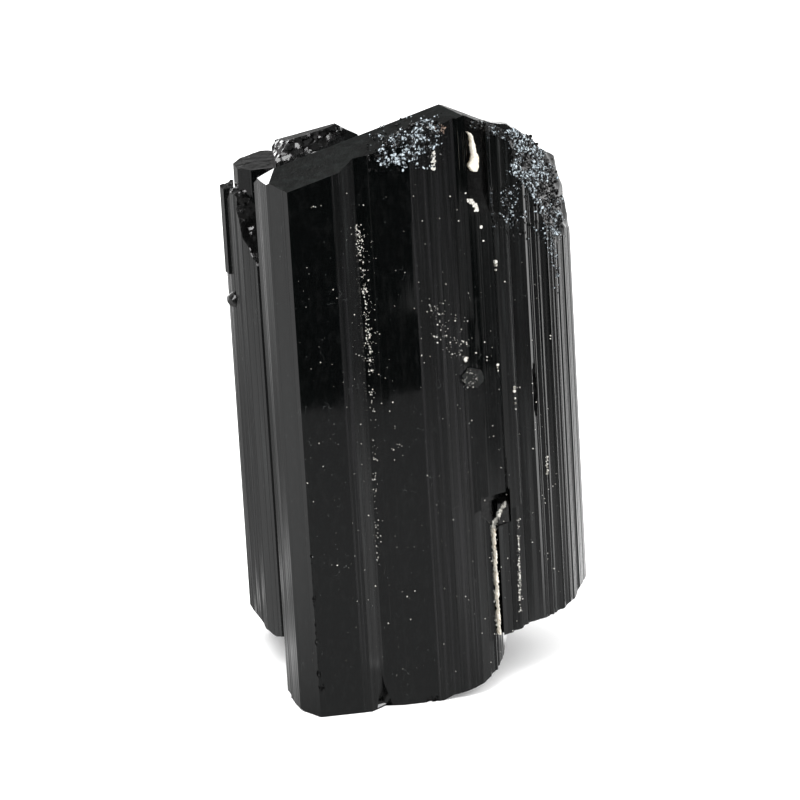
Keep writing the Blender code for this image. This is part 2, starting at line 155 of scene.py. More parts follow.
def only(piece):
    """Make a piece the only selected one, and the active one."""
    bpy.ops.object.select_all(action="DESELECT")
    piece.select_set(True)
    bpy.context.view_layer.objects.active = piece


def extrude_all(shift):
    """Extrude the whole active mesh by shift, and turn its faces outwards."""
    bpy.ops.object.mode_set(mode="EDIT")
    bpy.ops.mesh.select_all(action="SELECT")
    bpy.ops.mesh.extrude_region_move(TRANSFORM_OT_translate={"value": shift})
    bpy.ops.mesh.select_all(action="SELECT")
    bpy.ops.mesh.normals_make_consistent(inside=False)
    bpy.ops.object.mode_set(mode="OBJECT")


def give_slots(piece, finish=SMOOTH):
    """Give a piece a slot for each finish, and one of them to all its faces."""
    for _ in range(FINISHES):
        piece.data.materials.append(None)
    for face in piece.data.polygons:
        face.material_index = finish


def grow(name, points, foot=-4.0, top=64.0):
    """A crystal on a closed outline: a disc laid along the outline and extruded along the long axis."""
    bpy.ops.object.select_all(action="DESELECT")
    bpy.ops.mesh.primitive_circle_add(vertices=len(points), radius=1.0, fill_type="NGON")
    crystal = bpy.context.object
    crystal.name = name
    for vertex, (place, _) in zip(crystal.data.vertices, points):
        vertex.co = (place.x, place.y, foot)
    extrude_all((0.0, 0.0, top - foot))
    give_slots(crystal, BROKEN)
    places = np.array([place for place, _ in points])
    middles = (places + np.roll(places, -1, axis=0)) / 2.0
    for face in crystal.data.polygons:
        if abs(face.normal.z) < 0.5:
            nearest = ((middles - np.array(face.center[:2])) ** 2).sum(axis=1).argmin()
            face.material_index = points[nearest][1]
    return crystal


def facing(azimuth, slope):
    """The way a face looks: slope is counted from the base plane, and 180 looks down."""
    flat = math.sin(math.radians(slope))
    return Vector((flat * math.cos(math.radians(azimuth)), flat * math.sin(math.radians(azimuth)),
                   math.cos(math.radians(slope))))


def cleave(crystal, point, normal, finish):
    """Cut a crystal at a plane and close it with one flat face."""
    only(crystal)
    bpy.ops.object.mode_set(mode="EDIT")
    bpy.ops.mesh.select_all(action="SELECT")
    bpy.ops.mesh.bisect(plane_co=point, plane_no=normal, use_fill=True, clear_outer=True, threshold=1e-5)
    bpy.ops.mesh.select_all(action="SELECT")
    bpy.ops.mesh.normals_make_consistent(inside=False)
    bpy.ops.object.mode_set(mode="OBJECT")
    for face in crystal.data.polygons:
        if face.normal.dot(normal) > 0.9999 and abs((face.center - Vector(point)).dot(normal)) < 1e-3:
            face.material_index = finish


def terminate(crystal, azimuth, rise=0.0):
    """End a crystal with one low pyramid face, rise above the one through the apex."""
    cleave(crystal, APEX + Vector((0.0, 0.0, rise)), facing(azimuth, PYRAMID_SLOPE), ETCHED)


def combine(crystal, other, operation):
    """Join another solid to a crystal, or take it away, and remove the other one."""
    only(crystal)
    bpy.ops.object.modifier_add(type="BOOLEAN")
    boolean = crystal.modifiers[-1]
    boolean.operation = operation
    boolean.object = other
    boolean.solver = "MANIFOLD"
    bpy.ops.object.modifier_apply(modifier=boolean.name)
    bpy.data.objects.remove(other)


def turned_to(point, normal, turn=0.0):
    """A matrix at a point whose Z looks along normal."""
    look = Vector(normal).to_track_quat("Z", "Y").to_matrix().to_4x4()
    return Matrix.Translation(point) @ look @ Matrix.Rotation(math.radians(turn), 4, "Z")


noise.seed_set(7)       # noise_vector draws from this seed, so that each run gives the same breaks


def hackly(x, y, size, seed):
    """Height of a broken surface: small flat splinters, each at a level and a tilt of its own."""
    _, centres = noise.voronoi(Vector((x, y, seed)) / size)
    centre = centres[0]
    tilt = noise.noise_vector(centre * 7.1 + Vector((0.0, 0.0, seed)))
    away = Vector((x, y, seed)) / size - centre
    return size * (0.55 * (tilt.x * away.x + tilt.y * away.y) + 0.16 * tilt.z)


BROKEN_OFF = 30.0       # how much lies beyond a break at most


def break_away(crystal, point, normal, relief, cell, reach, seed, splinter=0.9, mesh_size=0.33, hackle=0.35):
    """Break away what lies beyond a plane: wide lumps, and on them small flat splinters.

    relief and cell are the height and width of the lumps, splinter the width of the small flat breaks and
    hackle how steep they are. reach is how far the broken face goes from the middle of the crystal.
    """
    low = np.array([vertex.co for vertex in crystal.data.vertices]).min(axis=0)
    high = np.array([vertex.co for vertex in crystal.data.vertices]).max(axis=0)
    middle = Vector((low + high) / 2.0)
    nearest = middle - normal * (middle - Vector(point)).dot(normal)
    segments = round(2.0 * reach / mesh_size)
    bpy.ops.object.select_all(action="DESELECT")
    bpy.ops.mesh.primitive_grid_add(x_subdivisions=segments, y_subdivisions=segments, size=2.0 * reach)
    tool = bpy.context.object
    for vertex in tool.data.vertices:
        lump = Vector((vertex.co.x, vertex.co.y, 0.0)) * (0.37 / cell) + Vector((0.0, 0.0, seed * 7.3))
        vertex.co.z = relief * (noise.noise(lump) + 0.5 * noise.noise(lump * 2.3))
        vertex.co.z += hackle * hackly(vertex.co.x, vertex.co.y, splinter, seed)
    extrude_all((0.0, 0.0, BROKEN_OFF))
    give_slots(tool, BROKEN)
    tool.data.transform(turned_to(nearest, normal))
    combine(crystal, tool, "DIFFERENCE")


def floor_height(x, y):
    """The height in the crystals' frame at which the floor lies under a point."""
    return -(FLOOR_UP.x * x + FLOOR_UP.y * y) / FLOOR_UP.z


# Vicinal faces lie a little off the prism forms. The first is the one of the left edge.
VICINAL_LEFT = M_LEFT + 16.5
FRONT_LEFT_EDGE = (-7.73, -14.50)
left_edge = walk((-10.72, -9.40), [
    (VICINAL_LEFT, 0.14), (M_LEFT - 6.0, 0.22), (M_LEFT + 5.0, 0.05), (M_LEFT - 4.0, 0.32),
    (VICINAL_LEFT, 0.03), (M_LEFT, 0.18), (M_LEFT + 5.0, 0.04), (M_LEFT - 6.0, 0.30)])
front_right = walk((8.35, -8.30), [(M_RIGHT, 1.10), (A_RIGHT, 0.55), (M_RIGHT, 0.80), (A_RIGHT, 3.20)])
front_crystal = grow("tourmaline_crystal_mesh", closed(
    ribs([FRONT_LEFT_EDGE, (-3.55, -13.27)], 1.1, 0.006, 1, SMOOTH),
    ribs([(-3.55, -13.27), (-2.71, -13.02)], 0.10, 0.05, 2, SATIN),
    ribs([(-2.71, -13.02), (-1.42, -11.43)], 0.16, 0.03, 3),
    ribs([(-1.42, -11.43), (0.32, -11.30)], 0.28, 0.02, 4, SMOOTH),
    ribs([(0.32, -11.30), (3.90, -10.22)], 0.45, 0.015, 5, SMOOTH),
    ribs([(3.90, -10.22), (6.15, -9.40), (8.35, -8.30)], 0.10, 0.045, 6, SATIN),
    ribs(front_right, 0.26, 0.12, 7),
    plain([front_right[-1], (11.0, 2.0), (7.0, 7.0), (-3.0, 8.5), (-9.0, 5.0), (-10.4, -4.2)], 8),
    ribs([(-10.4, -4.2), (-11.12, -7.30), (-10.62, -9.00), (-10.72, -9.40)], 0.18, 0.04, 9),
    plain(left_edge, 19),
    ribs([left_edge[-1], (-9.75, -12.60)], 0.22, 0.02, 10),
    ribs([(-9.75, -12.60), FRONT_LEFT_EDGE], 0.35, 0.015, 11, SMOOTH)))
for azimuth in (PYRAMID_FRONT, PYRAMID_RIGHT, PYRAMID_BACK):
    terminate(front_crystal, azimuth)
cleave(front_crystal, (-8.50, -9.37, 54.84), facing(197.0, 44.0), SMOOTH)
cleave(front_crystal, (0.0, 0.0, 0.0), -FLOOR_UP, BROKEN)
break_away(front_crystal, (4.6, -9.6, floor_height(4.6, -9.6)), facing(28.0, 166.0), 0.25, 1.8, 20.0, 3)
break_away(front_crystal, (-8.5, -13.7, floor_height(-8.5, -13.7)), facing(200.0, 159.0), 0.2, 1.8, 20.0, 4)

# ---------------------------------------------------------------------------------------------------
# The right crystal
# A second prism of the same tourmaline, grown into the right of the front one. Its front is a flight of
# narrow faces. Its outer shoulder and its foot are broken.
# ---------------------------------------------------------------------------------------------------
VICINAL = A_FRONT + 45.0
right_front = walk((8.60, -7.95), [
    (M_RIGHT, 1.50), (A_FRONT, 0.80), (A_RIGHT, 0.80), (M_RIGHT, 1.45), (A_RIGHT, 0.35), (A_FRONT, 0.85),
    (M_RIGHT, 0.95), (A_RIGHT, 0.35), (A_FRONT, 0.68), (M_RIGHT, 0.65), (A_FRONT, 0.45), (VICINAL, 0.50),
    (A_FRONT, 0.10), (A_RIGHT, 0.30), (M_RIGHT, 0.20), (VICINAL, 0.16), (A_RIGHT, 0.30), (A_FRONT, 0.36),
    (VICINAL, 0.08), (A_RIGHT, 0.30), (A_FRONT, 0.16), (VICINAL, 0.60), (M_RIGHT, 0.35), (A_FRONT, 0.42),
    (A_RIGHT, 0.90), (M_RIGHT, 0.20), (VICINAL, 0.35), (A_FRONT, 0.16), (A_RIGHT, 0.70), (VICINAL, 0.20),
    (M_RIGHT, 0.25), (A_RIGHT, 1.90), (M_RIGHT, 0.30), (A_RIGHT, 3.30)])
right_back = stairs(right_front[-1], (13.4, 13.1), A_BACK_RIGHT, M_BACK, 6, 11)
right_rear = stairs(right_back[-1], (8.2, 12.6), M_BACK, A_BACK, 4, 12)
right_crystal = grow("right_crystal", closed(
    ribs(right_front[:22], 0.40, 0.16, 21),
    ribs(right_front[21:], 0.18, 0.06, 24),
    ribs(right_back + right_rear, 0.20, 0.05, 22),
    plain([right_rear[-1], (5.0, 5.0), (4.0, -3.0), right_front[0]], 23)))
for azimuth in (PYRAMID_FRONT, PYRAMID_RIGHT, PYRAMID_BACK):
    terminate(right_crystal, azimuth)
break_away(right_crystal, (17.42, 8.0, 50.3), facing(345.0, 77.0), 0.45, 1.2, 34.0, 5)
break_away(right_crystal, (11.0, -4.0, 4.4), facing(40.0, 177.0), 0.5, 1.5, 18.0, 6)
break_away(right_crystal, (18.6, 6.6, 5.2), facing(350.0, 138.0), 0.4, 1.5, 30.0, 7)

# ---------------------------------------------------------------------------------------------------
# The ledge and the narrow rib
# Two flat ribs of tourmaline that cover the joint of the front and the right crystal. Both end above the
# foot: the ledge is broken off on the slant, and the narrow rib is broken at its top.
# ---------------------------------------------------------------------------------------------------
ledge = grow("ledge", closed(
    ribs([(8.2, -8.30), (8.60, -8.45), (9.90, -7.95), (11.45, -6.75), (11.75, -5.60)],
         0.16, 0.03, 31, SMOOTH),
    plain([(11.75, -5.60), (11.2, -3.0), (8.0, -5.0), (8.2, -8.30)], 32)), foot=8.0)
terminate(ledge, PYRAMID_RIGHT)
terminate(ledge, PYRAMID_FRONT)
break_away(ledge, (9.4, -8.1, 18.1), facing(340.0, 153.0), 0.35, 0.9, 18.0, 8, splinter=0.5)

narrow_rib = grow("narrow_rib", closed(
    ribs([(11.65, -5.85), (12.20, -5.60), (12.80, -5.12), (12.98, -4.30), (13.25, -3.40)], 0.14, 0.03, 33),
    plain([(13.25, -3.40), (12.90, -2.0), (11.2, -3.6), (11.65, -5.85)], 34)), foot=17.4, top=52.0)
break_away(narrow_rib, (12.4, -4.8, 46.8), facing(300.0, 40.0), 0.5, 0.9, 14.0, 9, splinter=0.5)

# ---------------------------------------------------------------------------------------------------
# The left crystal, its pillar and its splinter
# A prism of schorl behind the front one. Its top is broken off and crumbly, and a small flat-topped prism,
# the pillar, and one splinter still stand on it. Its foot slopes up to the back. Each is grown on its own
# outline and broken.
# ---------------------------------------------------------------------------------------------------
OUTER_LEFT = M_LEFT + 11.0
left_front = walk((-15.00, 6.20), [
    (OUTER_LEFT, 0.50), (M_LEFT, 0.08), (OUTER_LEFT, 0.45), (M_LEFT - 3.0, 1.15), (A_LEFT, 0.40),
    (M_LEFT + 5.0, 0.20), (A_BACK_LEFT, 0.80), (M_LEFT, 1.20), (A_LEFT, 0.60),
    (A_BACK_LEFT, 0.60), (M_LEFT, 1.30), (A_LEFT, 1.95)])
left_back = stairs((-8.0, 13.0), (-12.2, 11.8), M_BACK + 30.0, A_BACK_LEFT, 4, 21)
left_side = stairs(left_back[-1], left_front[0], A_BACK_LEFT - 30.0, A_BACK_LEFT, 6, 22)
left_crystal = grow("left_crystal", closed(
    ribs(left_back + left_side, 0.20, 0.05, 41),
    ribs(left_front, 0.15, 0.035, 42),
    plain([left_front[-1], (-9.0, -1.6), (-5.0, 5.0), (-5.5, 12.0), left_back[0]], 43)))
break_away(left_crystal, (-11.4, 1.0, 49.4), facing(150.0, 15.0), 1.3, 1.6, 18.0, 23, splinter=0.6,
           mesh_size=0.2, hackle=0.8)
break_away(left_crystal, (-11.7, 0.9, 46.6), facing(295.0, 60.0), 0.5, 0.9, 26.0, 26, splinter=0.6,
           mesh_size=0.2, hackle=0.9)
break_away(left_crystal, (-11.5, -2.0, 4.0), facing(250.0, 172.0), 0.4, 1.5, 18.0, 24)
break_away(left_crystal, (-14.7, 5.2, 5.2), facing(190.0, 132.0), 0.4, 1.5, 32.0, 25)

pillar = grow("pillar", closed(
    ribs([(-13.60, 4.60), (-13.10, 2.40), (-11.75, 1.75), (-9.60, 1.90)], 0.5, 0.02, 44, SMOOTH),
    ribs([(-9.60, 1.90), (-8.4, 5.0), (-9.6, 7.6), (-11.0, 7.9), (-12.9, 6.1), (-13.60, 4.60)],
         0.3, 0.03, 45)), foot=44.0)
break_away(pillar, (-13.5, 4.6, 51.35), facing(250.0, 5.0), 0.10, 1.4, 8.0, 36, splinter=0.9,
           mesh_size=0.15, hackle=0.3)
break_away(pillar, (-12.4, 1.4, 47.2), facing(262.0, 130.0), 0.5, 1.0, 12.0, 31, splinter=0.5)

splinter = grow("splinter", closed(
    ribs([(-15.15, 6.10), (-14.75, 4.90), (-14.0, 4.9), (-13.8, 6.8), (-15.15, 6.10)],
         0.2, 0.02, 46)), foot=40.0)
break_away(splinter, (-14.9, 5.6, 48.7), facing(240.0, 22.0), 0.25, 0.6, 4.0, 38, splinter=0.35,
           mesh_size=0.08, hackle=0.9)

# ---------------------------------------------------------------------------------------------------
# The glassy chunk
# A broken crystal of the same tourmaline behind the front pyramid face. It is all splintered, so it
# glints at every angle: it is cleaved first, and then broken on four sides.
# ---------------------------------------------------------------------------------------------------
glassy_chunk = grow("glassy_chunk", closed(
    ribs([(-8.90, -7.60), (-5.6, -7.95), (-2.2, -7.30), (-0.9, -5.4), (-2.0, -3.4), (-6.5, -3.2),
          (-9.3, -4.6), (-8.90, -7.60)], 0.4, 0.03, 51, SMOOTH)), foot=44.0)
cleave(glassy_chunk, (-3.3, -7.0, 57.00), facing(187.0, 17.0), BROKEN)
cleave(glassy_chunk, (-3.0, -6.6, 57.10), facing(15.0, 32.0), BROKEN)
cleave(glassy_chunk, (-3.3, -6.6, 57.15), facing(100.0, 30.0), BROKEN)
break_away(glassy_chunk, (-6.0, -7.4, 56.55), facing(200.0, 21.0), 0.6, 1.0, 10.0, 33, splinter=0.7,
           mesh_size=0.12, hackle=0.9)
break_away(glassy_chunk, (-8.35, -6.6, 55.05), facing(196.0, 48.0), 0.30, 0.9, 8.0, 37, splinter=0.6,
           mesh_size=0.12, hackle=0.9)
break_away(glassy_chunk, (-5.2, -7.30, 55.1), facing(262.0, 66.0), 0.5, 1.3, 10.0, 34, splinter=0.8,
           mesh_size=0.10, hackle=1.3)
break_away(glassy_chunk, (-1.6, -6.9, 56.4), facing(295.0, 48.0), 0.25, 1.6, 10.0, 35, splinter=1.3,
           mesh_size=0.12, hackle=1.1)

# ---------------------------------------------------------------------------------------------------
# The back crystals
# Two prisms of schorl that close the back of the group, made of ribbed steps. Each ends in pyramid faces of
# its own, and the feet of both are broken.
# ---------------------------------------------------------------------------------------------------
middle_corners = (stairs((13.6, 12.9), (9.4, 14.2), A_BACK_RIGHT, M_BACK + 20.0, 4, 41)
                  + stairs((9.4, 14.2), (3.4, 13.4), M_BACK, A_BACK, 5, 42)[1:])
middle_back = grow("middle_back", closed(
    ribs(middle_corners, 0.22, 0.05, 61),
    plain([middle_corners[-1], (2.0, 6.0), (12.0, 5.0), middle_corners[0]], 62)))
terminate(middle_back, PYRAMID_RIGHT, -0.6)
terminate(middle_back, PYRAMID_BACK, 0.3)
break_away(middle_back, (8.0, 12.0, 52.4), facing(80.0, 30.0), 0.8, 1.6, 20.0, 43)
break_away(middle_back, (8.0, 12.0, 2.6), facing(95.0, 171.0), 0.6, 1.8, 18.0, 44)

left_corners = (stairs((3.8, 12.4), (-2.4, 13.1), M_BACK, A_BACK, 5, 45)
                + stairs((-2.4, 13.1), (-8.6, 12.3), M_BACK, A_BACK + 8.0, 5, 46)[1:])
left_rear = grow("left_rear", closed(
    ribs(left_corners, 0.22, 0.05, 63),
    plain([left_corners[-1], (-9.0, 4.0), (3.0, 3.0), left_corners[0]], 64)))
terminate(left_rear, PYRAMID_BACK, 1.2)
terminate(left_rear, PYRAMID_RIGHT, 1.0)
break_away(left_rear, (-3.0, 12.0, 6.4), facing(100.0, 156.0), 0.6, 1.8, 24.0, 47)

# ---------------------------------------------------------------------------------------------------
# The crusted ridge, the side crystal and the nub
# Later growth: a low ridge on the right pyramid face, a small crystal that grew outwards across the ribs,
# and a rounded lump on the left edge.
# ---------------------------------------------------------------------------------------------------
crusted_ridge = grow("crusted_ridge", closed(
    ribs([(10.9, -1.8), (12.4, -3.2), (14.4, -1.6), (15.6, 0.4), (15.2, 1.6), (13.0, 1.9), (11.0, 1.2),
          (10.9, -1.8)], 0.3, 0.03, 71)), foot=44.0)
break_away(crusted_ridge, (13.1, 1.0, 54.75), facing(44.0, 12.2), 0.15, 0.9, 24.0, 52, splinter=0.4)
break_away(crusted_ridge, (14.0, 1.0, 54.20), facing(9.5, 42.4), 0.15, 0.9, 24.0, 53, splinter=0.4)

bpy.ops.object.select_all(action="DESELECT")
bpy.ops.mesh.primitive_cone_add(vertices=6, radius1=1.18, radius2=1.02, depth=4.4)
side_crystal = bpy.context.object
give_slots(side_crystal)
side_crystal.data.transform(turned_to((8.40, -7.35, 31.60), (0.30, -0.92, 0.10), 14.0))
cleave(side_crystal, (8.15, -9.00, 31.60), Vector((-0.10, -0.98, 0.14)).normalized(), ETCHED)

bpy.ops.object.select_all(action="DESELECT")
bpy.ops.mesh.primitive_ico_sphere_add(subdivisions=3, radius=0.85)
nub = bpy.context.object
for vertex in nub.data.vertices:
    vertex.co *= 1.0 + 0.12 * noise.noise(vertex.co * 2.3)
give_slots(nub, BROKEN)
nub.data.transform(Matrix.Translation((-14.25, 4.3, 37.6)) @ Matrix.Diagonal((1.0, 1.0, 0.9, 1.0)))

# ---------------------------------------------------------------------------------------------------
# The tourmaline as one piece
# The crystals are grown into each other, so they are joined in one mesh. The back of the top is broken
# down. Then the grooves that hold the feldspar, the recess under the ledge, a crack, a long pit, the notch
# and the nicks of the base and the chips of the left edge are taken out.
# ---------------------------------------------------------------------------------------------------
tourmaline = front_crystal
for grown_on in (right_crystal, left_crystal, ledge, narrow_rib, pillar, splinter, glassy_chunk,
                 middle_back, left_rear):
    combine(tourmaline, grown_on, "UNION")
break_away(tourmaline, (10.0, -2.0, 56.2), facing(60.0, 26.6), 0.25, 1.6, 34.0, 54, mesh_size=0.4)
for grown_on in (crusted_ridge, side_crystal, nub):
    combine(tourmaline, grown_on, "UNION")


def hollow(name, corners, foot, top, tilts=()):
    """A cutter for a hollow: an outline extruded along the long axis, with broken walls."""
    tool = grow(name, [(Vector(corner), BROKEN) for corner in corners], foot, top)
    for point, normal in tilts:
        cleave(tool, point, normal, BROKEN)
    return tool


def placed_primitive(matrix):
    """The primitive just added, as a broken-walled cutter at its place."""
    tool = bpy.context.object
    give_slots(tool, BROKEN)
    tool.data.transform(matrix)
    return tool


def chip_cutter(place, size, shift):
    """A small lumpy ball that cuts a chip or a nick: shift picks its shape."""
    bpy.ops.object.select_all(action="DESELECT")
    bpy.ops.mesh.primitive_ico_sphere_add(subdivisions=2, radius=size)
    for vertex in bpy.context.object.data.vertices:
        vertex.co *= 1.0 + 0.6 * noise.noise(vertex.co * 1.5 / size + Vector((shift, 0.0, 0.0)))
    return placed_primitive(Matrix.Translation(place))


# The groove of the blade, the recess under the ledge, the groove of the seam and the crack above it.
hollows = [
    hollow("blade_groove", [(9.50, -9.9), (11.35, -9.3), (11.35, -6.25), (9.10, -7.35), (9.50, -8.50)],
           47.0, 62.0, [((10.40, -7.56, 47.6), facing(128.0, 105.0))]),
    hollow("recess", [(8.95, -8.9), (11.9, -7.4), (11.9, -4.15), (9.05, -7.05)], 15.6, 19.4,
           [((9.0, -7.4, 17.2), facing(170.0, 122.0))]),
    hollow("seam_groove", [(9.75, -7.6), (10.60, -7.0), (10.60, -4.85), (9.85, -5.40)], -2.0, 18.4),
    hollow("crack", [(11.50, -7.2), (11.75, -7.1), (11.75, -5.0), (11.60, -5.0)], 16.8, 22.6)]
# The pit: long and narrow, in the ribs of the right crystal.
bpy.ops.object.select_all(action="DESELECT")
bpy.ops.mesh.primitive_ico_sphere_add(subdivisions=4, radius=1.0)
for vertex in bpy.context.object.data.vertices:
    vertex.co *= 1.0 + 0.35 * noise.noise(Vector((vertex.co.x, vertex.co.y, vertex.co.z * 4.0)) * 1.7)
hollows.append(placed_primitive(turned_to((15.05, -2.05, 28.2), (0.0, 0.0, 1.0), 52.0)
                                @ Matrix.Diagonal((0.45, 0.75, 3.0, 1.0))))
# The notch: a cone that leaves a pointed opening in the front of the base.
bpy.ops.object.select_all(action="DESELECT")
bpy.ops.mesh.primitive_cone_add(vertices=5, radius1=1.0, radius2=0.12, depth=3.2)
hollows.append(placed_primitive(Matrix.Translation((-1.60, -11.70, 1.2))))
# The chips of the left edge: many small ones and a few larger ones, in the lower third of its length.
CHIPS = 26
CHIPS_FROM = 2.6
CHIPS_SPAN = 13.8
CHIPS_OUT = 0.08
chance = random.Random(14)
for _ in range(CHIPS):
    up = CHIPS_FROM + CHIPS_SPAN * chance.random()
    share = chance.random()
    size = 0.12 + 0.34 * chance.random() ** 3
    inwards = 0.8 * share * size
    place = (FRONT_LEFT_EDGE[0] + inwards, FRONT_LEFT_EDGE[1] - CHIPS_OUT + 0.3 * inwards, up)
    hollows.append(chip_cutter(place, size, up))
# Two nicks in the front rim of the base, which slopes to the back by 0.3.
for across, size in ((2.95, 0.42), (3.65, 0.30)):
    deep = -11.30 + 0.3 * (across - 0.32)
    hollows.append(chip_cutter((across, deep, floor_height(across, deep) + 0.25), size, across))
for tool in hollows:
    combine(tourmaline, tool, "DIFFERENCE")


def colour(value):
    """An sRGB hex colour as linear red, green, blue and alpha."""
    channels = [int(value[place:place + 2], 16) / 255.0 for place in (1, 3, 5)]
    linear = [part / 12.92 if part <= 0.04045 else ((part + 0.055) / 1.055) ** 2.4 for part in channels]
    return (*linear, 1.0)


def add_node(tree, kind, settings=None, links=None):
    """Add a node: settings are its properties or its sockets' values, links join outputs to its sockets."""
    node = tree.nodes.new(kind)
    for key, value in (settings or {}).items():
        if isinstance(key, str) and hasattr(node, key):
            setattr(node, key, value)
        else:
            node.inputs[key].default_value = value
    for key, output in (links or {}).items():
        tree.links.new(output, node.inputs[key])
    return node


def calculate(tree, operation, *terms):
    """Calculate with terms, each a number or the output of a node."""
    numbers = {place: term for place, term in enumerate(terms) if isinstance(term, float)}
    outputs = {place: term for place, term in enumerate(terms) if not isinstance(term, float)}
    return add_node(tree, "ShaderNodeMath", {"operation": operation, **numbers}, outputs).outputs["Value"]


def new_material(name):
    """An empty node material, and its tree."""
    material = bpy.data.materials.new(name)
    material.use_nodes = True
    material.node_tree.nodes.clear()
    return material, material.node_tree


def crystal_place(tree):
    """The place in the crystals' own frame, in millimetres: the Object coordinates without the lean."""
    upright = LEANED.to_3x3().inverted()
    return add_node(tree, "ShaderNodeMapping", {
        "vector_type": "POINT",
        "Scale": (1.0 / MM, 1.0 / MM, 1.0 / MM),
        "Rotation": upright.to_euler(),
        "Location": -(upright @ FOOT_OF_AXIS) / MM}, {
        "Vector": add_node(tree, "ShaderNodeTexCoord").outputs["Object"]}).outputs["Vector"]


def pattern(tree, place, per_mm, detail=3.0, roughness=0.55, shift=0.0):
    """Noise with its own number of lumps per millimetre across, deep and along the long axis."""
    scaled = add_node(tree, "ShaderNodeVectorMath", {"operation": "MULTIPLY_ADD", 1: per_mm,
                                                     2: (shift, shift, shift)}, {0: place})
    return add_node(tree, "ShaderNodeTexNoise", {"Scale": 1.0, "Detail": detail, "Roughness": roughness}, {
        "Vector": scaled.outputs["Vector"]}).outputs["Fac"]


def between(tree, value, low, high, to_low, to_high, smooth=False):
    """Stretch a value from one range to another, and hold it there."""
    return add_node(tree, "ShaderNodeMapRange", {
        "interpolation_type": "SMOOTHSTEP" if smooth else "LINEAR", "From Min": low, "From Max": high,
        "To Min": to_low, "To Max": to_high}, {"Value": value}).outputs["Result"]


def dots(tree, place, per_mm, radius, share):
    """Round spots, at most one in each cell: radius is a part of a cell, share how many cells have one."""
    cells = add_node(tree, "ShaderNodeTexVoronoi", {"Scale": per_mm, "Randomness": 1.0}, {"Vector": place})
    lot = add_node(tree, "ShaderNodeSeparateColor", {}, {"Color": cells.outputs["Color"]}).outputs["Red"]
    chosen = calculate(tree, "LESS_THAN", lot, share)
    near = between(tree, cells.outputs["Distance"], 0.5 * radius, radius, 1.0, 0.0, True)
    return calculate(tree, "MULTIPLY", chosen, near)


def wisps(tree, place, per_mm, width, share):
    """Thin curling marks: where one noise crosses its middle, kept in patches of a broader noise."""
    curl = calculate(tree, "SUBTRACT", pattern(tree, place, per_mm, 2.0, 0.5, 13.0), 0.5)
    line = between(tree, calculate(tree, "ABSOLUTE", curl), 0.3 * width, width, 1.0, 0.0, True)
    broader = pattern(tree, place, (0.45, 0.45, 0.3), 2.0, 0.6, 71.0)
    return calculate(tree, "MULTIPLY", line, between(tree, broader, share, share + 0.06, 0.0, 1.0, True))


def schorl(name, base, dusty, roughness, relief_mm, rib_pattern, film_per_mm, dust_from, marked=0.0):
    """Schorl, black iron tourmaline, opaque at this thickness, with a glassy lustre (IOR 1.64).

    base and dusty are its own colour and the one with a dull film; roughness is a range; relief_mm is the
    depth of the bump in millimetres, rib_pattern and film_per_mm are lumps per millimetre along each axis;
    marked is the strength of the fine scratches and specks of dust.
    """
    material, tree = new_material(name)
    place = crystal_place(tree)
    fine = pattern(tree, place, rib_pattern, 2.5, 0.6)
    broad = pattern(tree, place, tuple(part * 0.22 for part in rib_pattern), 2.0, 0.5, 31.0)
    film = pattern(tree, place, film_per_mm, 4.0, 0.65, 57.0)
    tint = add_node(tree, "ShaderNodeMix", {"data_type": "RGBA", 6: colour(base), 7: colour(dusty)}, {
        0: between(tree, film, dust_from, dust_from + 0.2, 0.0, 1.0, True)}).outputs[2]
    # Specks of dust a tenth of a millimetre across, and hair-thin curling scratches.
    if marked:
        specks = dots(tree, place, 1.7, 0.10, 0.30)
        scratches = wisps(tree, place, (0.9, 0.9, 0.6), 0.004, 0.62)
        strength = calculate(tree, "MULTIPLY", calculate(tree, "MAXIMUM", specks, scratches), marked)
        tint = add_node(tree, "ShaderNodeMix", {"data_type": "RGBA", 7: colour("#585B5A")}, {
            0: strength, 6: tint}).outputs[2]
    bump = add_node(tree, "ShaderNodeBump", {"Strength": 1.0, "Distance": relief_mm * MM}, {
        "Height": calculate(tree, "MULTIPLY_ADD", broad, 1.6, fine)})
    shader = add_node(tree, "ShaderNodeBsdfPrincipled", {"IOR": 1.64, "Metallic": 0.0}, {
        "Base Color": tint,
        "Roughness": between(tree, broad, 0.35, 0.65, *roughness),
        "Normal": bump.outputs["Normal"]})
    add_node(tree, "ShaderNodeOutputMaterial", {}, {"Surface": shader.outputs["BSDF"]})
    return material


# Growth faces that stayed as bright as glass: no ribs to see, only a very slight waviness along the axis.
smooth_face = schorl("schorl_smooth_growth_face", "#050606", "#0B0C0C", (0.03, 0.06), 0.002,
                     (5.0, 5.0, 0.02), (1.9, 1.9, 0.9), 0.48, 0.45)
# Ribbed faces: striations 0.1 to 0.3 mm wide run along the axis and split the reflections into streaks.
ribbed_face = schorl("schorl_striated_face", "#090A0A", "#1B1D1D", (0.06, 0.20), 0.010,
                     (8.0, 8.0, 0.02), (2.6, 2.6, 0.10), 0.52, 0.30)
# The pyramid faces are etched: a fine, dull, grey-green skin that scatters the light.
etched_face = schorl("schorl_etched_pyramid_face", "#070908", "#121615", (0.36, 0.50), 0.055,
                     (3.6, 3.6, 3.6), (0.9, 1.9, 0.9), 0.44, 0.40)
# Satin faces: the finest striations under a thin grey film, so the light spreads over them.
satin_face = schorl("schorl_satin_face", "#0B0C0C", "#1B1B1C", (0.12, 0.24), 0.006,
                    (14.0, 14.0, 0.012), (3.4, 3.4, 0.05), 0.46, 0.35)
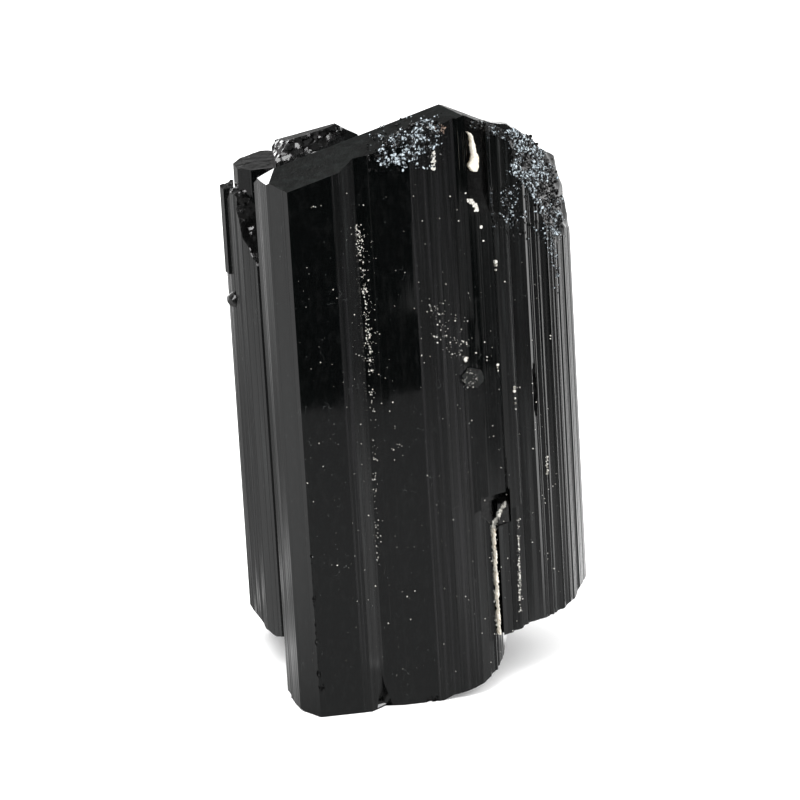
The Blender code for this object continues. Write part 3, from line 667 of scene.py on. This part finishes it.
# Broken tourmaline: conchoidal, glassy in the hollows, a little dusty on the lumps.
broken_face = schorl("schorl_broken_face", "#080808", "#191A1A", (0.06, 0.24), 0.030,
                     (2.6, 2.6, 2.6), (1.9, 1.9, 1.9), 0.52)
for index, material in enumerate((smooth_face, ribbed_face, satin_face, etched_face, broken_face)):
    tourmaline.data.materials[index] = material
for face in tourmaline.data.polygons:
    face.use_smooth = face.material_index == BROKEN
tourmaline.data.set_sharp_from_angle(angle=math.radians(24.0))
# The outside in millimetres, on which the grains are placed.
surface = BVHTree.FromPolygons([vertex.co.copy() for vertex in tourmaline.data.vertices],
                               [tuple(face.vertices) for face in tourmaline.data.polygons])
tourmaline.data.transform(STANDING)
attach(tourmaline, "root")
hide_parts("tourmaline_crystal")

# ---------------------------------------------------------------------------------------------------
# The feldspar blade and the feldspar of the seam
# Cream feldspar that filled two grooves: a thin blade with a wide foot, and an uneven strip between the
# two large prisms. Each is an extruded form, remeshed and roughened as the soft mineral breaks.
# ---------------------------------------------------------------------------------------------------


def feldspar(name, base, stained, grain_per_mm, spots_per_mm, spots_from, roughness):
    """Feldspar, slightly translucent (IOR 1.53), with spots of a second colour: ochre stains or clear grains.

    grain_per_mm and spots_per_mm are lumps per millimetre; spots_from is where the second colour begins.
    """
    material, tree = new_material(name)
    place = crystal_place(tree)
    spots = pattern(tree, place, (spots_per_mm, spots_per_mm, spots_per_mm), 3.0, 0.6, 5.0)
    fine = pattern(tree, place, (grain_per_mm, grain_per_mm, grain_per_mm), 3.0, 0.6)
    tint = add_node(tree, "ShaderNodeMix", {"data_type": "RGBA", 6: colour(base), 7: colour(stained)}, {
        0: between(tree, spots, spots_from, spots_from + 0.14, 0.0, 1.0, True)})
    bump = add_node(tree, "ShaderNodeBump", {"Strength": 0.8, "Distance": 0.05 * MM}, {"Height": fine})
    shader = add_node(tree, "ShaderNodeBsdfPrincipled", {
        "IOR": 1.53, "Metallic": 0.0, "Roughness": roughness, "Subsurface Weight": 0.15,
        "Subsurface Radius": (0.4 * MM, 0.35 * MM, 0.3 * MM), "Subsurface Scale": 1.0}, {
        "Base Color": tint.outputs[2], "Normal": bump.outputs["Normal"]})
    add_node(tree, "ShaderNodeOutputMaterial", {}, {"Surface": shader.outputs["BSDF"]})
    return material


# Cream feldspar, weathered: warm white with a little ochre in the pores.
cream = feldspar("cream_feldspar", "#DDD7CA", "#B5A78E", 3.0, 1.3, 0.52, 0.55)


def roughened(piece, voxel, relief, per_mm, seed):
    """Remesh a piece evenly and push its skin in and out, as a soft mineral breaks."""
    only(piece)
    bpy.ops.object.modifier_add(type="REMESH")
    remesh = piece.modifiers[-1]
    remesh.mode = "VOXEL"
    remesh.voxel_size = voxel
    bpy.ops.object.modifier_apply(modifier=remesh.name)
    normals = [vertex.normal.copy() for vertex in piece.data.vertices]
    for vertex, normal in zip(piece.data.vertices, normals):
        lump = vertex.co * per_mm + Vector((0.0, 0.0, seed * 3.1))
        vertex.co += normal * relief * (noise.noise(lump) + 0.6 * noise.noise(lump * 2.7))
    for face in piece.data.polygons:
        face.use_smooth = True


def dressed(piece, material, node=None):
    """Stand a finished piece with the group, give its one slot the material, and hide the part node it
    replaces.
    """
    piece.data.materials.clear()
    piece.data.materials.append(material)
    piece.data.transform(STANDING)
    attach(piece, "root")
    if node:
        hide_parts(node)


# The outline of the blade's front: a narrow top and a wide foot. It stands in its groove at a small turn.
BLADE_FRONT = [(0.02, 3.92), (0.24, 3.84), (0.45, 3.50), (0.62, 2.60), (0.70, 1.95), (0.92, 1.50),
               (0.88, 0.40), (0.72, 0.02), (0.34, 0.05), (-0.02, 0.55), (0.02, 0.72), (0.32, 1.05),
               (0.42, 1.60), (0.32, 2.60), (0.28, 3.50)]
BLADE_DEPTH = 0.9
BLADE_PLACE = (9.75, -8.35, 51.9)
BLADE_TURN = 0.42
bpy.ops.object.select_all(action="DESELECT")
bpy.ops.mesh.primitive_circle_add(vertices=len(BLADE_FRONT), radius=1.0, fill_type="NGON")
blade = bpy.context.object
blade.name = "feldspar_blade_mesh"
for vertex, (across, up) in zip(blade.data.vertices, BLADE_FRONT):
    vertex.co = (across, 0.0, up)
extrude_all((0.0, BLADE_DEPTH, 0.0))
roughened(blade, 0.06, 0.05, 3.2, 1)
blade.data.transform(Matrix.Translation(BLADE_PLACE) @ Matrix.Rotation(BLADE_TURN, 4, "Z"))
dressed(blade, cream, "feldspar_blade")

# The seam: a long strip that sways and swells a little.
SEAM_WIDTH = 0.12
SEAM_DEPTH = 0.55
SEAM_FOOT = 4.6
SEAM_HEAD = 15.6
SEAM_PLACE = (10.25, -6.55, 0.0)
SEAM_TURN = 0.62
bpy.ops.object.select_all(action="DESELECT")
bpy.ops.mesh.primitive_cube_add(size=1.0)
seam = bpy.context.object
seam.name = "feldspar_seam_mesh"
for vertex in seam.data.vertices:
    vertex.co.x *= SEAM_WIDTH
    vertex.co.y = 0.0 if vertex.co.y < 0.0 else SEAM_DEPTH
    vertex.co.z = SEAM_FOOT if vertex.co.z < 0.0 else SEAM_HEAD
roughened(seam, 0.045, 0.0, 1.0, 0)
for vertex in seam.data.vertices:
    sway = 0.10 * noise.noise(Vector((2.0, 0.0, vertex.co.z * 0.9)))
    width = 1.0 + 1.4 * noise.noise(Vector((7.0, 0.0, vertex.co.z * 1.3)))
    lump = vertex.co * 3.5
    vertex.co.x = vertex.co.x * width + sway + 0.07 * noise.noise(lump)
    vertex.co.y += 0.22 * noise.noise(lump + Vector((9.0, 0.0, 0.0)))
seam.data.transform(Matrix.Translation(SEAM_PLACE) @ Matrix.Rotation(SEAM_TURN, 4, "Z"))
dressed(seam, cream, "feldspar_seam")

# ---------------------------------------------------------------------------------------------------
# The grains
# Small late crystals on the tourmaline: cream feldspar along hair-thin veins and in scattered spots, blue-
# white albite and black tourmaline as crusts on the shoulders. Each is one small broken chip, copied at
# the points where it grew.
# ---------------------------------------------------------------------------------------------------
bpy.ops.object.select_all(action="DESELECT")
bpy.ops.mesh.primitive_cube_add(size=1.0)
chip = bpy.context.object
bpy.ops.object.mode_set(mode="EDIT")
bpy.ops.mesh.select_all(action="SELECT")
bpy.ops.mesh.bevel(offset=0.24, segments=1, affect="EDGES")
bpy.ops.object.mode_set(mode="OBJECT")
for vertex in chip.data.vertices:
    vertex.co += 0.14 * noise.noise_vector(vertex.co * 3.0)
chip_corners = [vertex.co.copy() for vertex in chip.data.vertices]
chip_faces = [tuple(face.vertices) for face in chip.data.polygons]
bpy.data.objects.remove(chip)


SIGHT = Vector((-0.0152, 0.9636, -0.2668)).normalized()     # the way the camera looks
FRONT_PLANE = -12.0     # where the places of the grains are measured
OUTSIDE = 30.0          # well in front of the crystals


def under(across, up):
    """The surface point under a place on the front plane, and its normal; none where it misses."""
    start = Vector((across, FRONT_PLANE, up)) - SIGHT * OUTSIDE
    point, normal, _, _ = surface.ray_cast(start, SIGHT)
    return (point, normal) if point else None


def grains(name, spots, material, seed, stretch=1.0):
    """Chips joined in one mesh. Each spot is a surface point, its normal and the chip's size."""
    chance = random.Random(seed)
    corners = []
    faces = []
    for point, normal, size in spots:
        turn = Euler([chance.uniform(0.0, 6.3) for _ in range(3)]).to_matrix()
        sizes = [size * chance.uniform(0.7, 1.25) for _ in range(3)]
        sizes[0] *= stretch
        at = point + normal * size * (0.35 - 0.35 * chance.random())
        first = len(corners)
        corners.extend(at + turn @ (corner * Vector(sizes)) for corner in chip_corners)
        faces.extend([first + corner for corner in face] for face in chip_faces)
    mesh = bpy.data.meshes.new(name)
    mesh.from_pydata(corners, [], faces)
    piece = bpy.data.objects.new(name, mesh)
    bpy.context.scene.collection.objects.link(piece)
    dressed(piece, material)


def inside(across, up, outline):
    """Whether a place lies inside an outline."""
    hit = False
    for (x1, y1), (x2, y2) in zip(outline, outline[1:] + outline[:1]):
        if (y1 > up) != (y2 > up) and across < (x2 - x1) * (up - y1) / (y2 - y1) + x1:
            hit = not hit
    return hit


def crust(outline, count, sizes, seed, clump=1.1, bare=0.0, fringe=0.0):
    """Spots spread in clumps over an outline.

    sizes is the smallest and largest chip, clump how many clumps a millimetre has and bare how much of the
    outline stays bare. With a fringe, a few lie that far outside.
    """
    chance = random.Random(seed)
    left = min(x for x, _ in outline)
    right = max(x for x, _ in outline)
    low = min(y for _, y in outline)
    high = max(y for _, y in outline)
    spots = []
    tries = 0
    while len(spots) < count and tries < 40 * count:
        tries += 1
        across = chance.uniform(left - fringe, right + fringe)
        up = chance.uniform(low - fringe, high + fringe)
        if not inside(across, up, outline) and chance.random() > 0.08 * (fringe > 0.0):
            continue
        if noise.noise(Vector((across * clump, up * clump, seed * 5.3))) < bare + chance.gauss(0.0, 0.12):
            continue
        found = under(across, up)
        if found:
            spots.append((*found, sizes[0] + (sizes[1] - sizes[0]) * chance.random() ** 2.2))
    return spots


def line_of(points, count, spread, sizes, seed):
    """Spots along a line of places, close to it, in clumps."""
    chance = random.Random(seed)
    spots = []
    while len(spots) < count:
        leg = chance.randrange(len(points) - 1)
        part = chance.random()
        across = points[leg][0] + (points[leg + 1][0] - points[leg][0]) * part + chance.gauss(0.0, spread)
        up = points[leg][1] + (points[leg + 1][1] - points[leg][1]) * part
        if noise.noise(Vector((0.0, up * 1.3, seed * 3.7))) < chance.gauss(-0.15, 0.22):
            continue
        found = under(across, up)
        if found:
            spots.append((*found, sizes[0] + (sizes[1] - sizes[0]) * chance.random() ** 2.0))
    return spots


# Where the grains sit: outlines and lines on the front plane, as across and up.
FRONT_CRUST = [(0.65, 53.8), (1.2, 55.6), (2.5, 57.0), (4.2, 57.8), (5.7, 58.5), (6.8, 58.2), (7.0, 57.4),
               (6.5, 55.2), (5.1, 55.0), (3.6, 54.0)]
SHOULDER_CRUST = [(14.3, 56.3), (15.7, 56.7), (17.1, 55.7), (17.9, 54.6), (18.5, 52.5), (18.9, 49.2),
                  (18.6, 46.6), (17.4, 47.2), (16.3, 49.8), (15.3, 51.6), (14.0, 52.4), (13.8, 54.6)]
SHOULDER_TOP = [(13.6, 57.2), (14.6, 57.5), (16.2, 56.6), (16.9, 55.4), (15.6, 55.0), (14.2, 56.0)]
RECESS_CRUST = [(12.1, 51.0), (13.6, 51.4), (14.0, 49.0), (13.6, 47.6), (12.4, 48.2)]
RIDGE_CRUST = [(10.0, 57.9), (10.9, 58.0), (12.1, 57.8), (12.9, 57.3), (13.4, 56.8), (14.2, 56.3),
               (13.6, 56.2), (12.3, 56.75), (10.9, 57.35), (9.9, 57.6)]
EDGE_CRUST = [(16.8, 49.3), (17.5, 48.3), (18.3, 43.5), (17.9, 39.8), (17.3, 42.0), (16.9, 45.8)]
VEIN = [(-1.31, 48.3), (-1.03, 43.3), (-0.93, 38.3), (-0.90, 33.8), (-0.97, 27.7), (-1.22, 20.1),
        (-1.35, 14.4)]
CLUSTER = [(4.7, 40.4), (6.9, 40.2), (8.9, 36.2), (8.4, 34.6), (6.2, 35.2), (4.4, 38.4)]
LOW_VEIN = [(12.73, 18.0), (12.56, 12.6), (12.44, 8.3)]
SEAM_LINE = [(11.49, 19.77), (11.11, 19.17), (10.68, 18.38), (10.25, 17.58), (10.11, 16.86), (10.05, 13.77),
             (10.04, 9.63), (10.01, 6.09)]
LONG_PATCH = [(6.15, 55.3), (6.45, 55.3), (6.35, 53.3), (6.05, 53.5)]
WHITE_PATCH = [(9.3, 50.4), (9.8, 50.3), (10.2, 49.9), (10.3, 49.2), (10.0, 49.1), (9.8, 49.8), (9.4, 50.0)]
LOW_PATCH = [(15.85, 24.2), (16.05, 24.2), (16.0, 22.3), (15.8, 22.3)]
SIDE_FACE = [(7.8, 32.9), (8.5, 33.7), (9.3, 33.2), (9.5, 32.2), (8.8, 31.2), (8.0, 31.5)]
ALL_THE_FRONT = [(-9.0, 3.0), (-7.0, 52.0), (17.0, 52.0), (17.0, 10.0), (8.0, 2.0)]
STAIN = [(6.2, 57.6), (7.0, 57.9), (7.7, 57.4), (7.4, 56.8), (6.5, 56.8)]
# Single grains: across, up and size.
LONE_GRAINS = [(10.52, 47.6, 0.24), (10.64, 46.2, 0.16), (11.7, 44.1, 0.34), (11.8, 43.8, 0.22),
               (11.75, 43.3, 0.18), (12.56, 42.1, 0.14), (9.19, 50.95, 0.16), (8.38, 34.55, 0.34),
               (8.30, 34.35, 0.26), (9.36, 35.09, 0.14), (10.40, 34.63, 0.12), (10.38, 34.29, 0.10),
               (11.41, 33.78, 0.20), (11.40, 33.48, 0.16), (11.43, 33.18, 0.10), (12.93, 31.40, 0.30),
               (12.91, 31.05, 0.24), (12.97, 30.30, 0.16), (12.99, 29.80, 0.18), (13.01, 29.20, 0.12),
               (13.57, 31.4, 0.10), (16.95, 36.5, 0.16), (16.90, 36.2, 0.12), (11.56, 6.4, 0.10),
               (11.24, 17.8, 0.10), (1.03, 30.58, 0.12), (0.69, 29.70, 0.11), (-0.03, 30.54, 0.09),
               (-5.56, 50.13, 0.08), (-5.37, 50.22, 0.08), (-5.18, 50.16, 0.07)]

# Albite: clear to blue-white, with bright cleavage faces.
albite = feldspar("albite_grains", "#C3CED5", "#16191B", 5.0, 3.6, 0.40, 0.16)
# Cream feldspar grains of the veins and spots.
cream_grains = feldspar("cream_feldspar_grains", "#DAD7CF", "#77746C", 5.0, 2.6, 0.50, 0.4)

grains("albite_crust", crust(FRONT_CRUST, 900, (0.05, 0.32), 1, bare=0.06, fringe=0.4)
       + crust(SHOULDER_CRUST, 1500, (0.05, 0.28), 2, clump=0.8, bare=-0.05, fringe=0.4)
       + crust(SHOULDER_TOP, 420, (0.10, 0.36), 3)
       + crust(RIDGE_CRUST, 300, (0.05, 0.20), 19, bare=-0.2)
       + crust(RECESS_CRUST, 130, (0.06, 0.20), 4, fringe=0.3)
       + crust(EDGE_CRUST, 120, (0.05, 0.13), 5), albite, 1)
grains("schorl_crust", crust(FRONT_CRUST, 420, (0.10, 0.34), 6, fringe=0.6)
       + crust(SHOULDER_CRUST, 900, (0.08, 0.28), 7, bare=-0.5, fringe=0.3)
       + crust(SHOULDER_TOP, 120, (0.12, 0.36), 8, bare=-0.4)
       + crust(RIDGE_CRUST, 320, (0.10, 0.30), 10, bare=-0.6)
       + crust(RECESS_CRUST, 130, (0.10, 0.28), 9, fringe=0.4), broken_face, 2, stretch=1.5)
grains("feldspar_grains", line_of(VEIN[:4], 230, 0.18, (0.03, 0.15), 11)
       + line_of(VEIN[:4], 90, 0.8, (0.02, 0.07), 24)
       + line_of(VEIN[3:], 80, 0.15, (0.03, 0.11), 12)
       + crust(CLUSTER, 120, (0.03, 0.12), 13, clump=1.2, bare=-0.1, fringe=0.8)
       + line_of(LOW_VEIN, 150, 0.07, (0.04, 0.15), 14)
       + line_of(SEAM_LINE[:4], 130, 0.10, (0.06, 0.24), 15)
       + line_of(SEAM_LINE[3:], 260, 0.11, (0.05, 0.18), 18)
       + crust(LONG_PATCH, 70, (0.08, 0.22), 16, bare=-1.0)
       + crust(WHITE_PATCH, 90, (0.08, 0.22), 20, bare=-1.0)
       + crust(LOW_PATCH, 40, (0.05, 0.16), 21, bare=-1.0)
       + crust(SIDE_FACE, 40, (0.03, 0.09), 22, bare=-1.0)
       + [(*under(across, up), size) for across, up, size in LONE_GRAINS]
       + crust(ALL_THE_FRONT, 260, (0.03, 0.11), 17, clump=0.5), cream_grains, 3)
# The stain: feldspar grains browned by iron.
rusty_grains = feldspar("iron_stained_feldspar", "#8F7B6E", "#5C4A40", 5.0, 2.6, 0.45, 0.5)
grains("stained_grains", crust(STAIN, 60, (0.05, 0.16), 23, bare=-0.6), rusty_grains, 4)

# ---------------------------------------------------------------------------------------------------
# The floor
# A plain pale sheet of paper that lies on a light table, so its shadows stay pale. The glassy faces don't
# mirror it: they mirror the tent.
# ---------------------------------------------------------------------------------------------------
FLOOR_SIZE = 6.0
SHEET = 0.00001         # each sheet lies this much under the one above it


def applied():
    """The primitive just added, with its place and turn moved into its mesh."""
    bpy.ops.object.transform_apply(location=True, rotation=True, scale=True)
    return bpy.context.object


bpy.ops.object.select_all(action="DESELECT")
bpy.ops.mesh.primitive_plane_add(size=FLOOR_SIZE, location=(0.0, 0.0, -2.0 * SHEET))
floor = applied()
floor.name = "floor"
paper, tree = new_material("white_paper")
sheen = add_node(tree, "ShaderNodeBsdfDiffuse", {"Color": colour("#F4F4F4")})
from_below = add_node(tree, "ShaderNodeEmission", {"Strength": 0.12})
lit_paper = add_node(tree, "ShaderNodeAddShader", {}, {
    0: sheen.outputs["BSDF"], 1: from_below.outputs["Emission"]})
add_node(tree, "ShaderNodeOutputMaterial", {}, {"Surface": lit_paper.outputs["Shader"]})
floor.data.materials.append(paper)
floor.visible_glossy = False

# ---------------------------------------------------------------------------------------------------
# The tent
# Glowing cards round the crystals that only reflections see: a floor, a round wall, a roof and three small
# cards. The wall is dark on the side that the front faces look to. Radiance is set by azimuth.
# ---------------------------------------------------------------------------------------------------
TENT_RADIUS = 0.45
TENT_HEIGHT = 0.55
TENT_SIDES = 96
PAPER_EDGE = (0.071, -0.142, 0.0)   # in front of here the glassy faces see no floor, only the dark room
PAPER_EDGE_TURN = 8.0
FLOOR_REACH = (0.07, 0.17)
WALL_REACH = (0.03, 0.10)
BRIGHTEST = 8.0                     # the radiance that a ramp's 1 stands for


def ramp_by_azimuth(tree, around, by_azimuth):
    """Radiance from pairs of azimuth and radiance, read at the azimuth a place stands at."""
    ramp = add_node(tree, "ShaderNodeValToRGB", {}, {"Fac": around})
    stops = ramp.color_ramp.elements
    stops.remove(stops[1])
    for number, (azimuth, radiance) in enumerate(by_azimuth):
        at = ((azimuth + 180.0) % 360.0) / 360.0
        stop = stops[0] if number == 0 else stops.new(at)
        stop.position = at
        stop.color = (radiance / BRIGHTEST, radiance / BRIGHTEST, radiance / BRIGHTEST, 1.0)
    return calculate(tree, "MULTIPLY", ramp.outputs["Color"], BRIGHTEST)


def glow(name, close_by, far_off=None, reach=None, upwards=False):
    """A card's glow by azimuth. It turns from close_by to far_off between the two distances of reach,
    counted along the floor or, on a wall, upwards.
    """
    material, tree = new_material(name)
    place = add_node(tree, "ShaderNodeTexCoord").outputs["Object"]
    around = add_node(tree, "ShaderNodeTexGradient", {"gradient_type": "RADIAL"}, {
        "Vector": place}).outputs["Fac"]
    strength = ramp_by_azimuth(tree, around, close_by)
    if far_off:
        if upwards:
            away = add_node(tree, "ShaderNodeSeparateXYZ", {}, {"Vector": place}).outputs["Z"]
        else:
            length = add_node(tree, "ShaderNodeVectorMath", {"operation": "LENGTH"}, {0: place})
            away = length.outputs["Value"]
        strength = add_node(tree, "ShaderNodeMix", {}, {
            "Factor": between(tree, away, *reach, 0.0, 1.0, True),
            "A": strength, "B": ramp_by_azimuth(tree, around, far_off)}).outputs["Result"]
    light = add_node(tree, "ShaderNodeEmission", {}, {"Strength": strength})
    add_node(tree, "ShaderNodeOutputMaterial", {}, {"Surface": light.outputs["Emission"]})
    return material


def card(name, *radiance):
    """The primitive just added becomes a card of the tent, which only reflections see.

    radiance is what glow takes after its name.
    """
    made = applied()
    made.name = name
    made.data.materials.append(glow(name + "_glow", *radiance))
    made.visible_camera = False
    made.visible_diffuse = False
    made.visible_transmission = False
    made.visible_volume_scatter = False
    made.visible_shadow = False
    return made


FLOOR_CLOSE_BY = [
    (-179.9, 0.85), (-150.0, 0.5), (-120.0, 0.30), (-46.0, 0.30), (-42.0, 0.36), (-38.0, 0.90),
    (-34.0, 0.45), (0.0, 0.5), (18.0, 0.45), (28.0, 1.6), (45.0, 1.9), (62.0, 0.85), (95.0, 0.35),
    (104.0, 0.18), (123.0, 0.13), (142.0, 0.18), (145.0, 0.9), (147.0, 0.9), (150.0, 0.3), (157.0, 0.35),
    (167.0, 0.5), (179.9, 0.85)]
FLOOR_FAR_OFF = [
    (-179.9, 0.78), (-150.0, 0.45), (-120.0, 0.24), (-46.0, 0.24), (-37.0, 0.45), (-27.0, 0.17),
    (0.0, 0.10), (12.0, 0.10), (26.0, 1.6), (45.0, 1.9), (62.0, 0.85), (84.0, 2.0), (95.0, 1.4),
    (104.0, 0.32), (114.0, 0.30), (123.0, 0.36), (140.0, 0.45), (144.0, 3.2), (148.0, 3.2), (152.0, 0.5),
    (157.0, 2.3), (167.0, 0.75), (179.9, 0.78)]
bpy.ops.object.select_all(action="DESELECT")
bpy.ops.mesh.primitive_circle_add(vertices=TENT_SIDES, radius=TENT_RADIUS, fill_type="NGON",
                                  location=(0.0, 0.0, -SHEET))
sheet = card("tent_floor", FLOOR_CLOSE_BY, FLOOR_FAR_OFF, FLOOR_REACH)
only(sheet)
bpy.ops.object.mode_set(mode="EDIT")
bpy.ops.mesh.select_all(action="SELECT")
bpy.ops.mesh.bisect(plane_co=PAPER_EDGE, plane_no=facing(PAPER_EDGE_TURN - 90.0, 90.0), clear_outer=True)
bpy.ops.object.mode_set(mode="OBJECT")

WALL_LOW = [
    (-179.9, 0.5), (-150.0, 0.10), (-120.0, 0.0), (-30.0, 0.0), (0.0, 0.2), (30.0, 1.0), (60.0, 1.5),
    (85.0, 2.6), (100.0, 1.5), (123.0, 3.0), (155.0, 0.8), (179.9, 0.5)]
WALL_HIGH = [
    (-179.9, 0.5), (-150.0, 0.25), (-120.0, 0.15), (-60.0, 0.15), (0.0, 0.2), (30.0, 0.8), (60.0, 0.5),
    (85.0, 0.2), (106.0, 0.3), (140.0, 0.8), (160.0, 0.6), (179.9, 0.5)]
bpy.ops.object.select_all(action="DESELECT")
bpy.ops.mesh.primitive_cylinder_add(vertices=TENT_SIDES, radius=TENT_RADIUS, depth=TENT_HEIGHT,
                                    end_fill_type="NOTHING", location=(0.0, 0.0, TENT_HEIGHT / 2.0))
card("tent_wall", WALL_LOW, WALL_HIGH, WALL_REACH, True)

bpy.ops.object.select_all(action="DESELECT")
bpy.ops.mesh.primitive_circle_add(vertices=TENT_SIDES, radius=TENT_RADIUS, fill_type="NGON",
                                  location=(0.0, 0.0, TENT_HEIGHT))
card("tent_roof", [(-179.9, 0.2), (-90.0, 0.08), (0.0, 0.14), (90.0, 0.11), (135.0, 0.12), (179.9, 0.2)])

# The small cards: one low at the right, a bright one above the front and a bright one behind at the left.
for name, size, place, turn, radiance in (
        ("low_card", 0.12, (0.205, -0.195, -0.001), (0.0, 0.0, -0.77), 0.22),
        ("front_card", 0.22, (-0.06, -0.36, 0.36), (math.radians(52.0), 0.0, -0.16), 7.5),
        ("rear_card", 0.12, (-0.243, 0.350, 0.150), (math.radians(90.0), 0.0, 0.57), 7.5)):
    bpy.ops.object.select_all(action="DESELECT")
    bpy.ops.mesh.primitive_plane_add(size=size, location=place, rotation=turn)
    card(name, [(-179.9, radiance), (0.0, radiance)])

# ---------------------------------------------------------------------------------------------------
# The lights
# Two soft boxes, one above the front and one at the back right, and a pale room. Reflections don't see
# them, only the paper and the matt grains do.
# ---------------------------------------------------------------------------------------------------
for name, size, energy, place, aim in (
        ("overhead_soft_box", 0.45, 4.0, (-0.22, -0.26, 0.60), (0.0, 0.0, 0.03)),
        ("side_soft_box", 0.4, 2.4, (0.42, 0.22, 0.30), (0.0, 0.0, 0.0))):
    light = bpy.data.lights.new(name, "AREA")
    light.shape = "SQUARE"
    light.size = size
    light.energy = energy
    soft_box = bpy.data.objects.new(name, light)
    soft_box.location = place
    soft_box.rotation_euler = (Vector(aim) - soft_box.location).to_track_quat("-Z", "Y").to_euler()
    soft_box.visible_glossy = False
    bpy.context.scene.collection.objects.link(soft_box)

world = bpy.data.worlds.new("pale_room")
world.use_nodes = True
background = world.node_tree.nodes["Background"]
background.inputs["Color"].default_value = (1.0, 1.0, 1.0, 1.0)
background.inputs["Strength"].default_value = 1.25
world.cycles_visibility.glossy = False
bpy.context.scene.world = world
bpy.context.scene.view_settings.view_transform = "Standard"

# ---------------------------------------------------------------------------------------------------
# The camera
# It looks down by 18 degrees from the front, with a long lens.
# ---------------------------------------------------------------------------------------------------
CAMERA_DOWN = math.radians(18.0)
CAMERA_AWAY = 0.44
CAMERA_LENS = 200.5
LOOKED_AT = FOOT_OF_AXIS + Vector((0.0, 0.0, 0.02785))
view = Vector((0.0, math.cos(CAMERA_DOWN), -math.sin(CAMERA_DOWN)))
camera_data = bpy.data.cameras.new("camera")
camera_data.sensor_width = 36.0
camera_data.lens = CAMERA_LENS
camera_data.clip_start = 0.01
camera = bpy.data.objects.new("camera", camera_data)
camera.location = LOOKED_AT - view * CAMERA_AWAY
camera.rotation_euler = view.to_track_quat("-Z", "Y").to_euler()
bpy.context.scene.collection.objects.link(camera)
bpy.context.scene.camera = camera
